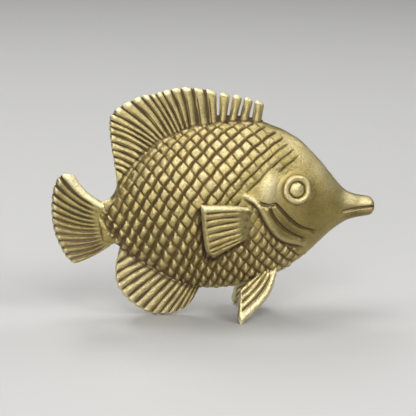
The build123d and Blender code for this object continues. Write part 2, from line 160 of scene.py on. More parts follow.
class SmoothLine:
    """A smooth line through given points, read by its share from start to end."""

    def __init__(self, points: Array) -> None:
        """Keeps the points and their shares of the length along straight steps.

        Args:
            points: Points in order, (k, 2).
        """
        steps = np.linalg.norm(np.diff(points, axis=0), axis=1)
        self.points = points
        self.shares = np.concatenate([[0.0], np.cumsum(steps)]) / steps.sum()

    def at(self, shares: Array) -> Array:
        """The points at shares of the line's length, (n, 2)."""
        return through(self.shares, self.points, shares)

    def measure(self, places: Array, pieces: int = 40) -> tuple[Array, Array]:
        """How far places are from the line, positive on its left, and where along it.

        Args:
            places: Places, (..., 2).
            pieces: Straight pieces that stand for the line.

        Returns:
            Signed distance and share of the line at the nearest point, each (...).
        """
        shares = np.linspace(0.0, 1.0, pieces + 1)
        corners = self.at(shares)
        best = np.full(places.shape[:-1], np.inf)
        side = np.zeros_like(best)
        share = np.zeros_like(best)
        for index in range(pieces):
            start, run = corners[index], corners[index + 1] - corners[index]
            gap = places - start
            distance, t = from_piece(places, start, run)
            nearer = distance < best
            best = np.where(nearer, distance, best)
            side = np.where(nearer, np.sign(run[0] * gap[..., 1] - run[1] * gap[..., 0]), side)
            share = np.where(nearer, (index + t) / pieces, share)
        return best * side, share


def inside_outline(places: Array, outline: Array) -> Array:
    """How far places lie inside a closed outline, negative outside.

    Args:
        places: Places, (..., 2).
        outline: Corners in order, (k, 2).

    Returns:
        The distance to the nearest edge, (...).
    """
    nearest = np.full(places.shape[:-1], np.inf)
    crossings = np.zeros(places.shape[:-1], dtype=int)
    for start, end in zip(outline, np.roll(outline, -1, axis=0)):
        run, gap = end - start, places - start
        nearest = np.minimum(nearest, from_piece(places, start, run)[0])
        spans = (start[1] > places[..., 1]) != (end[1] > places[..., 1])
        rise = np.where(run[1] == 0, 1e-9, run[1])
        crossings += spans & (gap[..., 0] < gap[..., 1] * run[0] / rise)
    return np.where(crossings % 2 == 1, nearest, -nearest)


@dataclass(frozen=True)
class Sketch:
    """The side sketch that the forms are drawn on, and the line of sight that it was drawn along."""

    unit: float = 0.15456
    centre: float = 213.75
    ground: float = 315.0
    turn: float = radians(4.0)
    rise: float = radians(14.0)

    def flat(self, points: Points) -> Array:
        """Sketch units as places in the mid-plane.

        Args:
            points: Units across and down the sketch.

        Returns:
            X and Z in millimetres, (n, 2).
        """
        drawn = np.asarray(points, dtype=float)
        x = (drawn[:, 0] - self.centre) * self.unit / cos(self.turn)
        up = (self.ground - drawn[:, 1]) * self.unit
        return np.column_stack([x, (up - x * sin(self.turn) * sin(self.rise)) / cos(self.rise)])

    def shown(self, places: Array) -> Array:
        """Where places on either flank show in the mid-plane along the line of sight, (..., 2)."""
        out = np.abs(places[..., 1])
        x = places[..., 0] + out * tan(self.turn)
        z = places[..., 2] - out * tan(self.rise) / cos(self.turn)
        return np.stack([x, z], axis=-1)

    def from_spot(
        self, shown: Array, spot: tuple[float, float], radii: tuple[float, float] = (1.0, 1.0)
    ) -> Array:
        """How far shown places are from a spot, counted in the radii of an ellipse round it.

        Args:
            shown: X and Z in the mid-plane, (..., 2).
            spot: Units across and down the sketch.
            radii: The ellipse's radii in millimetres.

        Returns:
            The distances, (...).
        """
        off = (shown - self.flat([spot])[0]) / np.array(radii)
        return np.hypot(off[..., 0], off[..., 1])

    def raised(self, flat: Array, out: Array) -> Array:
        """The places on the right side, out from the mid-plane, that show at flat places.

        Args:
            flat: X and Z in the mid-plane, (..., 2).
            out: Distance from the mid-plane, (...).

        Returns:
            Places, (..., 3).
        """
        x = flat[..., 0] - out * tan(self.turn)
        z = flat[..., 1] + out * tan(self.rise) / cos(self.turn)
        return np.stack([x, -out, z], axis=-1)


SKETCH = Sketch()


def placed(name: str, data: bpy.types.ID) -> bpy.types.Object:
    """A new object in the scene, at the origin."""
    thing = bpy.data.objects.new(name, data)
    bpy.context.scene.collection.objects.link(thing)
    return thing


def aim(thing: bpy.types.Object, place: Array, right: Array, back: Array) -> None:
    """Puts a lamp or a camera in its place, looking against back.

    Args:
        thing: The lamp or the camera.
        place: Its place in metres.
        right: Unit vector to its right.
        back: Unit vector away from what it looks at.
    """
    pose = np.eye(4)
    pose[:3, :3] = np.column_stack([right, np.cross(back, right), back])
    pose[:3, 3] = place
    thing.matrix_world = Matrix(pose.tolist())


@dataclass
class Casting:
    """A mesh before it is written: places, quads, many-sided caps, and how its metal has aged, with its
    painted light and shade.
    """

    places: Array
    quads: Array
    caps: list[Array] = field(default_factory=list)
    marks: dict[Mark, Array] = field(default_factory=dict)
    normals: Array | None = None

    def mirrored(self) -> "Casting":
        """The same casting on the other side of the mid-plane, still facing outwards."""
        flip = np.array([1.0, -1.0, 1.0])
        normals = None if self.normals is None else self.normals * flip
        caps = [cap[::-1] for cap in self.caps]
        return Casting(self.places * flip, self.quads[:, ::-1], caps, self.marks, normals)

    def write(self, name: str, node: str, material: bpy.types.Material) -> bpy.types.Object:
        """Makes the piece, lets it ride on the figurine and stand for its CAD node.

        Args:
            name: The piece's name.
            node: The CAD node that it replaces.
            material: Its finish.

        Returns:
            The object.
        """
        mesh = bpy.data.meshes.new(name)
        mesh.vertices.add(len(self.places))
        mesh.vertices.foreach_set("co", (self.places * MM).astype(np.float32).ravel())
        corners = np.concatenate([self.quads.ravel(), *self.caps]).astype(np.int32)
        sizes = np.concatenate([np.full(len(self.quads), 4), [len(cap) for cap in self.caps]]).astype(int)
        starts = np.concatenate([[0], np.cumsum(sizes)[:-1]]).astype(np.int32)
        mesh.loops.add(len(corners))
        mesh.loops.foreach_set("vertex_index", corners)
        mesh.polygons.add(len(sizes))
        mesh.polygons.foreach_set("loop_start", starts)
        mesh.polygons.foreach_set("use_smooth", np.ones(len(sizes), dtype=bool))
        mesh.update(calc_edges=True)
        for mark in Mark:
            layer = mesh.attributes.new(mark.value, "FLOAT", "POINT")
            shares = np.clip(self.marks.get(mark, np.zeros(len(self.places))), 0.0, 1.0)
            layer.data.foreach_set("value", shares.astype(np.float32).ravel())
        if self.normals is not None:
            mesh.normals_split_custom_set_from_vertices(self.normals.tolist())
        mesh.materials.append(material)
        piece = placed(name, mesh)
        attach(piece, BODY)
        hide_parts(node)
        log.info("%s: %d places, %d faces", name, len(self.places), len(sizes))
        return piece


def grid_quads(index: Array) -> Array:
    """Quads between neighbours of a grid of vertex numbers, (m, 4)."""
    corners = index[:-1, :-1], index[1:, :-1], index[1:, 1:], index[:-1, 1:]
    return np.stack(corners, axis=-1).reshape(-1, 4)


def unit_normals(along: Array, across: Array) -> Array:
    """The unit vectors at right angles to two fields of directions."""
    normal = np.cross(along, across)
    return normal / np.maximum(np.linalg.norm(normal, axis=-1, keepdims=True), 1e-12)


@dataclass
class Relief:
    """Carving over a grid: how far it stands out, and how it marks the metal."""

    height: Array
    marks: dict[Mark, Array] = field(default_factory=dict)

    def add(self, other: "Relief") -> None:
        """Lays other carving on top: heights add up, and the strongest of each mark wins."""
        self.height = self.height + other.height
        for mark, shares in other.marks.items():
            self.marks[mark] = np.maximum(self.marks.get(mark, np.zeros_like(shares)), shares)


@dataclass
class Scales:
    """Lozenge scales between two families of grooves over the flank.

    The grooves that rise towards the head are circles about a pole in front of the belly, closer together
    towards the head and, bit by bit, towards the tail. The grooves that fall towards the head are parallel
    straight lines. Both run in a plane of length along the fish and distance round its flank.
    """

    pole: tuple[float, float] = (33.4, -5.1)
    rising_start: float = 42.8
    rising_knee: float = 42.1
    rising_pitch: float = 1.90
    rising_pitch_near_head: float = 1.30
    tail_crowding: float = 0.0115
    falling_normal: tuple[float, float] = (0.765, 0.645)
    falling_start: float = 9.51
    falling_pitch: float = 1.603
    depth: float = 0.36
    crown: tuple[float, float] = (0.18, 0.62)
    rising_half_width: float = 0.08
    falling_half_width: float = 0.01
    bevel: tuple[float, float] = (0.24, 0.40)
    shadow: float = 0.77
    zone_slope: float = 0.25
    belly_zone: tuple[float, float] = (8.0, 19.0)
    back_zone: tuple[float, float] = (16.0, 24.0)
    head_zone: tuple[float, float] = (40.0, 42.6)
    head_zone_level: tuple[float, float] = (16.0, 19.0)
    bare_patch: tuple[float, float] = (256, 221)
    bare_radii: tuple[float, float] = (1.5, 2.3)
    border: Points = (
        (121, 176), (117, 150), (140, 110), (200, 95), (262, 100), (264, 125), (273, 129.5), (281, 134),
        (287, 139), (292, 145), (298, 153), (303, 160), (295, 170), (284, 179), (277, 175.5), (271, 174),
        (266, 180), (262, 188), (256, 194), (247, 197), (241, 197), (248, 202), (254, 207), (259, 215),
        (264, 225), (270, 233), (280, 241), (290, 245.5), (300, 248.5), (310, 253), (300, 280), (250, 305),
        (150, 305), (126, 262), (122, 252), (114, 243), (108, 236), (103, 226), (99, 215), (101, 208),
        (107, 205), (112, 201), (116, 196), (120, 187),
    )

    def rising_count(self, x: Array, round_flank: Array) -> tuple[Array, Array]:
        """Groove count of the rising family, and its pitch there.

        Args:
            x: Length along the fish.
            round_flank: Distance round the flank.

        Returns:
            The count, whole at a groove, and the pitch.
        """
        beyond = np.hypot(x - self.pole[0], round_flank - self.pole[1]) - self.rising_knee
        towards_tail = np.maximum(beyond, 0.0)
        start_pitch = np.where(beyond > 0, self.rising_pitch, self.rising_pitch_near_head)
        lead = (self.rising_start - self.rising_knee) / self.rising_pitch
        count = beyond / start_pitch + self.tail_crowding * towards_tail**2 - lead
        return count, 1 / (1 / start_pitch + 2 * self.tail_crowding * towards_tail)

    def pillow(self, from_groove: Array, half_width: float, bevel: Array) -> Array:
        """A quarter of a sine wave that leaves the groove's floor and flattens on the scale.

        Args:
            from_groove: Distance from the middle of the groove.
            half_width: Half the floor's width.
            bevel: Length of the wave.

        Returns:
            0 on the floor, 1 on the scale.
        """
        return np.sin(np.clip((from_groove - half_width) / bevel, 0.0, 1.0) * np.pi / 2)

    def zones(self, x: Array, round_flank: Array) -> tuple[Array, Array, Array]:
        """How far places lie towards the belly, towards the back and in the field behind the head.

        Args:
            x: Length along the fish.
            round_flank: Distance round the flank.

        Returns:
            The three shares.
        """
        level = round_flank + self.zone_slope * x
        from_pole = np.hypot(x - self.pole[0], round_flank - self.pole[1])
        near_head = 1 - smooth_step(*self.head_zone, from_pole)
        near_head = near_head * smooth_step(*self.head_zone_level, round_flank)
        return 1 - smooth_step(*self.belly_zone, level), smooth_step(*self.back_zone, level), near_head

    def cover(self, shown: Array, facing: Array, low: Array, near_head: Array) -> Array:
        """Where there are scales: inside the border, off the bare patch and short of the belly's keel.

        Args:
            shown: Places in the side sketch's plane, (..., 2).
            facing: How squarely the flank faces sideways, 0 to 1.
            low: How far towards the belly.
            near_head: How far in the field behind the head.

        Returns:
            The shares.
        """
        inside = inside_outline(shown, SKETCH.flat(self.border))
        covered = smooth_step(0.0, 1.0, inside / (0.5 + 0.7 * near_head))
        bare = hill(SKETCH.from_spot(shown, self.bare_patch, self.bare_radii), 1.0)
        keel = smooth_step(0.0, 1.0, (facing - 0.02 - 0.13 * low) / (0.08 + 0.34 * low))
        return covered * (1 - 0.8 * bare) * keel

    def relief(self, x: Array, round_flank: Array, shown: Array, facing: Array) -> Relief:
        """Pillows with rounded sides above flat grooves, each a little different in height, tilt and outline.

        Every scale has its own chance, from 0 to 1, out of the counts of the grooves beside it.

        Args:
            x: Length along the fish.
            round_flank: Distance round the flank.
            shown: Places in the side sketch's plane, (..., 2).
            facing: How squarely the flank faces sideways, 0 to 1.

        Returns:
            The carving.
        """
        drift = 0.06 * np.sin(1.9 * x + 0.8 * round_flank) + 0.04 * np.sin(3.1 * round_flank - 1.3 * x)
        rising, pitch = self.rising_count(x + drift, round_flank)
        from_rising = np.abs(rising - np.round(rising)) * pitch
        line = x * self.falling_normal[0] + (round_flank + drift) * self.falling_normal[1]
        falling = (line - self.falling_start) / self.falling_pitch
        from_falling = np.abs(falling - np.round(falling)) * self.falling_pitch
        low, high, near_head = self.zones(x, round_flank)
        covered = self.cover(shown, facing, low, near_head)
        chance = np.sin(np.floor(rising) * 12.99 + np.floor(falling) * 78.23) * 43758.55 % 1.0
        bevel = blend(self.bevel, low) * (1 - 0.4 * near_head)
        from_rising = from_rising + 0.06 * near_head - 0.04 * (chance - 0.5)
        from_falling = from_falling - 0.07 * (chance * 5 % 1.0 - 0.5)
        across = self.pillow(from_rising, self.rising_half_width, bevel)
        along = self.pillow(from_falling, self.falling_half_width, 0.8 * bevel)
        along = 1 - (1 - along) * (1 - 0.5 * near_head)
        pillow = across * along
        forward, upward = rising % 1.0 - 0.5, falling % 1.0 - 0.5
        tilt = forward * (chance - 0.5) + upward * (chance * 7 % 1.0 - 0.5)
        dome = 1 - 2 * forward**2 - 2 * upward**2
        crown = blend(self.crown, low) * (0.8 + 0.4 * chance)
        swell = crown * (dome - 0.6) + (0.17 + 0.10 * low) * tilt
        height = covered * (swell * pillow**2 - self.depth * (1 - pillow))
        shadow = np.minimum((1 - pillow) ** 1.9 + 0.25 * (1 - across) * (1 - along), 1.0)
        shadow = shadow * (self.shadow - 0.03 * low)
        up = forward + upward
        top = smooth_step(0.5, 0.9, pillow)
        # Painted highlights: the upper side of each scale, the upper side of belly scales and the band where
        # the flank turns up to the back are lightened as if lit from above; the rest is polish on scale tops
        # and tone that differs at random.
        polish_and_highlight = 0.14 + 0.3 * chance + 0.5 * smooth_step(-0.2, 0.7, up)
        crest = smooth_step(0.6, 0.95, pillow) * polish_and_highlight * dome
        crest = crest * (0.4 + 0.6 * high) + 0.5 * low * smooth_step(0.0, 0.6, up) * top
        crest = crest + 0.5 * high * (1 - smooth_step(0.15, 0.60, facing)) * top
        # Painted shade: the lower side of each scale and the flank away from the back are darkened, and the
        # field behind the head is darker olive, as patina and painted shade.
        patina = (1 - high) * (0.20 + 0.45 * smooth_step(-0.2, 0.8, -up)) + 0.5 * near_head
        film = 0.5 * (1 - across) ** 2 * (1 - near_head) * chance
        marks = {
            Mark.RECESS: shadow * (1 - 0.5 * film),
            Mark.CREST: crest * (1 - 0.6 * near_head),
            Mark.PATINA: patina,
            Mark.FILM: film,
        }
        return Relief(height, {mark: covered * share for mark, share in marks.items()})


@dataclass
class Gills:
    """Two crescents behind the cheek, under the edge of the gill cover."""

    cover_edge: Points = (
        (257, 199.5), (260, 202), (264, 203.3), (268, 204.2), (271, 203.6), (274, 202.8), (279, 206.5),
        (285, 213), (292.4, 220.2), (302.5, 226.6), (312, 229.3), (319, 231.8),
    )
    middle_groove: Points = (
        (268.5, 204.5), (270, 207.5), (272.2, 213), (277, 220.2), (284.5, 227.6), (292.5, 232.9),
        (302.5, 237), (308, 238.8),
    )
    outer_groove: Points = (
        (240, 196.5), (247, 201.3), (253.5, 205.8), (258.6, 213.5), (263.5, 222.5), (270.5, 233),
        (277.6, 239.8), (288, 244.3), (296.5, 245.6), (303, 247.7), (307.5, 249),
    )
    depth: float = 0.38
    crescent: float = 0.26
    rear_crescent: float = 0.28
    rear_depth: float = 0.45
    cheek: tuple[float, float] = (268.5, 188)
    cheek_radii: tuple[float, float] = (1.35, 2.3)
    cheek_height: float = 0.38

    def step(self, shown: Array, line: Points, depth: float) -> Relief:
        """A cliff along a line, with a flat floor on its rear side that rises to a rounded crescent.

        Args:
            shown: Places in the side sketch's plane, (..., 2).
            line: The cliff's edge, from the back downwards.
            depth: How deep the floor lies.

        Returns:
            The carving.
        """
        distance, share = SmoothLine(SKETCH.flat(line)).measure(shown)
        behind = -distance
        fade = faded_ends(share, 0.10, 0.88)
        floor = smooth_step(-0.04, 0.08, behind) * (1 - smooth_step(0.18, 0.56, behind)) * fade
        film = smooth_step(-0.02, 0.06, behind) * (1 - smooth_step(0.26, 0.48, behind)) * fade
        line_dark = hill(behind - 0.07, 0.14) * fade
        swell = hill(behind - 0.80, 0.45) * fade
        # The foot of each cliff is darkened as painted shade with its tarnish, and the crescent behind it
        # gets an olive patina.
        marks = {Mark.RECESS: line_dark, Mark.FILM: 0.3 * film, Mark.PATINA: 0.5 * swell}
        return Relief(self.crescent * swell - depth * floor, marks)

    def relief(self, shown: Array) -> Relief:
        """Both crescents, the groove round them and the bulge of the cheek."""
        carving = self.step(shown, self.cover_edge, self.depth)
        carving.add(self.step(shown, self.middle_groove, self.depth * 0.9))
        distance, share = SmoothLine(SKETCH.flat(self.outer_groove)).measure(shown)
        fade = faded_ends(share, 0.16, 0.85)
        groove = hill(distance + 0.12, 0.26) * fade
        dark = hill(distance + 0.05, 0.17) * fade
        ends = faded_ends(share, 0.05, 0.85)
        swell = hill(distance - 0.50, 0.42) * ends
        tail = hill(distance - 0.45, 0.35) * ends * (1 - smooth_step(0.12, 0.40, share))
        # The groove is darkened as painted shade with its tarnish, and the crescent behind it and its upper
        # hook are lightened as painted highlights.
        marks = {Mark.RECESS: np.maximum(dark, 0.5 * groove), Mark.CREST: np.maximum(0.4 * swell, tail)}
        carving.add(Relief(self.rear_crescent * swell - self.rear_depth * groove, marks))
        # The cheek's bulge is lightened as a painted highlight.
        bulge = hill(SKETCH.from_spot(shown, self.cheek, self.cheek_radii), 1.0)
        carving.add(Relief(self.cheek_height * bulge, {Mark.CREST: 0.8 * bulge}))
        return carving


@dataclass
class Mouth:
    """The slit between the lips."""

    line: Points = ((378, 205.6), (366, 206.6), (355, 208.4), (347, 210.2), (340, 211.4))
    depth: float = 0.42
    width: float = 0.24

    def relief(self, shown: Array) -> Relief:
        """A groove that grows shallow towards the corner of the mouth, with painted shade along its upper
        wall above a painted highlight on the lower lip.
        """
        below, share = SmoothLine(SKETCH.flat(self.line)).measure(shown)
        fade = 1 - smooth_step(0.85, 1.0, share)
        slit = hill(below - 0.10, self.width) * fade
        dark = hill(below + 0.03, 0.15) * fade
        lip = hill(below - 0.30, 0.14) * fade
        return Relief(0.10 * lip - self.depth * slit, {Mark.RECESS: dark, Mark.CREST: 0.45 * lip})


@dataclass
class Crease:
    """A groove, ridge or dark line on the body: where fins meet it, under the mouth, by the tail's root. Some
    dark lines are painted shade.
    """

    line: Points
    depth: float
    width: float
    dark: float
    fade: float = 0.0

    def relief(self, shown: Array) -> Relief:
        """A groove with the section of a bell, fading at the line's ends where asked."""
        distance, share = SmoothLine(SKETCH.flat(self.line)).measure(shown)
        ends = faded_ends(share, self.fade, 1 - self.fade) if self.fade else 1.0
        groove = hill(distance, self.width) * ends
        return Relief(-self.depth * groove, {Mark.RECESS: self.dark * groove})


CREASES = (
    Crease(
        ((117.5, 187), (119.5, 181), (123.5, 175.5), (128.5, 170), (134.5, 162.3), (140.5, 157), (150, 148.6),
         (160, 141.6), (170, 136.2), (180, 131.6), (190, 128.1), (200, 125.3), (220, 122.6), (240, 121.6),
         (262, 123)),
        depth=0.0, width=0.32, dark=0.5,
    ),
    # Painted shade along the belly's edge over the anal fin's root.
    Crease(
        ((118, 245), (130, 254.5), (140, 260.5), (150, 266), (160, 271.5), (170, 277), (180, 281.5),
         (190, 285), (200, 287)),
        depth=0.0, width=0.35, dark=0.7,
    ),
    # Painted shadow of the pectoral fin on the flank round its rear and lower edges, in a shallow groove.
    Crease(
        ((199.3, 207), (199.8, 215), (201, 228), (202.5, 240), (204, 250), (207, 257.5), (212, 260),
         (218, 257), (230, 250), (242, 242.5), (250, 238)),
        depth=0.22, width=0.40, dark=0.95, fade=0.06,
    ),
    # Painted shade under the lower lip.
    Crease(
        ((338, 220), (346, 217.5), (356, 215), (366, 213.5), (375, 212)),
        depth=0.0, width=0.55, dark=0.3, fade=0.1,
    ),
    Crease(
        ((96.5, 207), (98.5, 216), (101.5, 225), (103.8, 234), (105, 244)),
        depth=-0.12, width=0.30, dark=0.0, fade=0.15,
    ),
    Crease(((101, 216), (105, 224), (110, 233), (114, 241)), depth=0.16, width=0.16, dark=0.6, fade=0.2),
    Crease(((104.5, 215), (109.5, 224), (116, 234), (121, 242)), depth=0.16, width=0.16, dark=0.6, fade=0.2),
    Crease(
        ((99, 207), (108, 219), (116, 230), (124, 241), (132, 251)),
        depth=0.22, width=0.18, dark=0.6, fade=0.1,
    ),
)


@dataclass(frozen=True)
class Spot:
    """A place where the metal is darkened or lightened, fading outwards as a bell: mostly painted shade or
    painted highlights, partly patina.
    """

    mark: Mark
    place: tuple[float, float]
    reach: float
    share: float

    def relief(self, shown: Array) -> Relief:
        """Marks the metal and carves nothing."""
        shares = self.share * hill(SKETCH.from_spot(shown, self.place), self.reach)
        return Relief(np.zeros_like(shares), {self.mark: shares})


SPOTS = (
    # Painted shade, with olive patina, over the lower head, round the gill cover and under the snout.
    Spot(Mark.PATINA, (314, 222), 5.2, 0.75),
    Spot(Mark.PATINA, (358, 215), 2.6, 0.9),
    Spot(Mark.PATINA, (250, 222), 2.2, 0.5),
    Spot(Mark.PATINA, (284, 231), 3.2, 1.0),
    Spot(Mark.PATINA, (320, 190), 3.0, 0.6),
    Spot(Mark.PATINA, (257, 157), 3.0, 0.5),
    Spot(Mark.PATINA, (290, 254), 2.5, 0.6),
    # Painted highlights on the rim of the tail's notch, along the forehead's top edge and on the top of the
    # snout.
    Spot(Mark.CREST, (110, 200), 1.2, 0.6),
    Spot(Mark.CREST, (292, 141), 2.2, 0.4),
    Spot(Mark.CREST, (308, 153), 2.0, 0.4),
    Spot(Mark.CREST, (322, 167), 1.8, 0.5),
    Spot(Mark.CREST, (334, 181), 1.6, 0.5),
    Spot(Mark.CREST, (350, 197), 1.4, 0.6),
    Spot(Mark.CREST, (366, 200), 1.4, 0.7),
)


@dataclass
class Body:
    """The cast body: upright ellipses along the fish between its back and belly lines, then carved."""

    back: Points = (
        (95, 203), (100, 202), (104, 201.2), (108, 199.3), (113, 195.5), (116, 190), (119, 181),
        (123, 175.5), (128, 170), (134, 162), (140, 156.5), (150, 148), (160, 141), (170, 135.5),
        (180, 131), (190, 127.5), (200, 124.7), (220, 122), (240, 121), (255, 121.3), (263, 122.6),
        (270, 125.5), (280, 129), (290, 134.2), (300, 140.5), (310, 150), (320, 160.5), (330, 172.3),
        (340, 184.4), (345, 189.3), (350, 192), (356, 194), (362, 195), (368, 195.9), (373, 197.2),
        (376, 198.5),
    )
    belly: Points = (
        (95, 246), (100, 246.5), (104, 245.5), (108, 244.4), (113, 243.5), (117, 244.4), (121, 247.8),
        (130, 255), (140, 261), (150, 266.5), (160, 272), (170, 277.5), (180, 282), (190, 285.3),
        (200, 287), (210, 287.5), (220, 287), (240, 284.5), (260, 279), (280, 271), (300, 257.3),
        (310, 249.5), (320, 240), (330, 230.7), (340, 223.5), (346, 220), (352, 217.8), (360, 216.2),
        (370, 214.6), (376, 213.2),
    )
    flank: Points = (
        (95, 0.40), (100, 0.80), (104, 1.30), (109, 1.85), (118, 2.7), (127, 3.5), (145, 4.5), (165, 5.25),
        (185, 5.7), (205, 5.95), (225, 6.0), (245, 5.98), (262, 5.9), (280, 5.58), (300, 4.98), (312, 4.4),
        (325, 3.72), (335, 2.95), (342, 2.4), (355, 1.78), (369, 1.5), (376, 1.4),
    )
    tail_end: float = 95.5
    snout_end: float = 375.6
    snout_round: float = 1.0
    snout_rows: int = 14
    rows: int = 398
    columns: int = 245
    scales: Scales = field(default_factory=Scales)
    gills: Gills = field(default_factory=Gills)
    mouth: Mouth = field(default_factory=Mouth)
    creases: tuple[Crease, ...] = CREASES
    spots: tuple[Spot, ...] = SPOTS

    def lengths(self) -> Array:
        """Places of the cross-sections, evenly spaced but crowded into the rounded snout."""
        start, end = SKETCH.flat([(self.tail_end, 0), (self.snout_end, 0)])[:, 0]
        bend = end - self.snout_round
        straight = np.linspace(start, bend, self.rows - self.snout_rows)
        turn = np.linspace(0.0, 1.0, self.snout_rows + 1)[1:]
        return np.concatenate([straight, bend + self.snout_round * np.sin(turn * np.pi / 2)])

    def sections(self, x: Array) -> tuple[Array, Array, Array]:
        """Middle height, half height and half width of the cross-sections.

        Args:
            x: Places along the fish.

        Returns:
            The three, each with the shape of x.
        """
        back, belly = SKETCH.flat(self.back), SKETCH.flat(self.belly)
        high, low = through(back[:, 0], back[:, 1], x), through(belly[:, 0], belly[:, 1], x)
        widths = np.asarray(self.flank)
        wide = through(SKETCH.flat([(at, 0) for at, _ in self.flank])[:, 0], widths[:, 1], x)
        end = SKETCH.flat([(self.snout_end, 0)])[0, 0]
        past = np.clip((x - end + self.snout_round) / self.snout_round, 0.0, 1.0)
        blunt = np.sqrt(1 - 0.999 * past**2)
        return (high + low) / 2, (high - low) / 2 * blunt, wide * blunt

    def base(self) -> tuple[Array, Array]:
        """The right half without carving.

        A section's angle runs from back to belly as the arc tangent of a stretched tangent, which spaces the
        points evenly round the ellipse.

        Returns:
            Places, (rows, columns, 3), and the distance round the flank, level with the height at its middle.
        """
        x = self.lengths()
        middle, half_height, half_width = (part[:, None] for part in self.sections(x))
        turn = np.linspace(np.pi / 2, -np.pi / 2, self.columns)[None, :]
        stretch = np.sqrt(half_width / half_height)
        angle = np.arctan2(stretch * np.sin(turn), np.cos(turn))
        y = -half_width * np.cos(angle)
        z = middle + half_height * np.sin(angle)
        y[:, [0, -1]] = 0.0
        places = np.stack([np.broadcast_to(x[:, None], y.shape), y, z], axis=-1)
        steps = np.linalg.norm(np.diff(places, axis=1), axis=-1)
        down = np.concatenate([np.zeros((len(x), 1)), np.cumsum(steps, axis=1)], axis=1)
        return places, middle + down[:, [self.columns // 2]] - down

    def normals(self, places: Array) -> Array:
        """Outward normals of a right half, worked out as if the left half continued it."""
        flip = np.array([1.0, -1.0, 1.0])
        padded = np.concatenate([places[:, 1:2] * flip, places, places[:, -2:-1] * flip], axis=1)
        return unit_normals(padded[:, 2:] - padded[:, :-2], np.gradient(places, axis=0))

    def carving(self, places: Array, round_flank: Array, eye: "Eye") -> Relief:
        """All that is carved into the right half.

        Args:
            places: The uncarved half.
            round_flank: Distance round the flank.
            eye: The eye that sits in a hollow on the cheek.

        Returns:
            The carving.
        """
        shown = SKETCH.shown(places)
        carving = Relief(np.zeros(round_flank.shape))
        carving.add(self.scales.relief(places[..., 0], round_flank, shown, -self.normals(places)[..., 1]))
        carving.add(self.gills.relief(shown))
        carving.add(self.mouth.relief(shown))
        carving.add(eye.hollow(shown))
        for detail in (*self.creases, *self.spots):
            carving.add(detail.relief(shown))
        return carving

    def surface_at(self, spot: tuple[float, float]) -> tuple[Array, Array]:
        """The place on the right flank that shows at a sketch place, and the normal there.

        Args:
            spot: Units across and down the sketch.

        Returns:
            Place and unit normal.
        """
        places, _ = self.base()
        target = SKETCH.flat([spot])[0]
        miss = np.linalg.norm(SKETCH.shown(places) - target, axis=-1)
        row, column = np.unravel_index(np.argmin(miss), miss.shape)
        return places[row, column], self.normals(places)[row, column]

    def build(self, eye: "Eye") -> Casting:
        """The right half as a closed casting with a flat wall in the mid-plane.

        Args:
            eye: The eye that sits in a hollow on the cheek.

        Returns:
            The casting.
        """
        places, round_flank = self.base()
        carving = self.carving(places, round_flank, eye)
        carved = places + self.normals(places) * carving.height[..., None]
        carved[:, [0, -1], 1] = 0.0
        index = np.arange(self.rows * self.columns).reshape(self.rows, self.columns)
        wall = np.stack([index[:-1, 0], index[1:, 0], index[1:, -1], index[:-1, -1]], axis=-1)
        return Casting(
            carved.reshape(-1, 3),
            np.concatenate([grid_quads(index)[:, ::-1], wall]),
            [index[0, ::-1], index[-1]],
            {mark: shares.ravel() for mark, shares in carving.marks.items()},
            self.normals(carved).reshape(-1, 3),
        )

    def dress(self, eye: "Eye", finish: bpy.types.Material) -> None:
        """Writes both halves."""
        right = self.build(eye)
        right.write("carved_body_right", "body", finish)
        right.mirrored().write("carved_body_left", "body", finish)


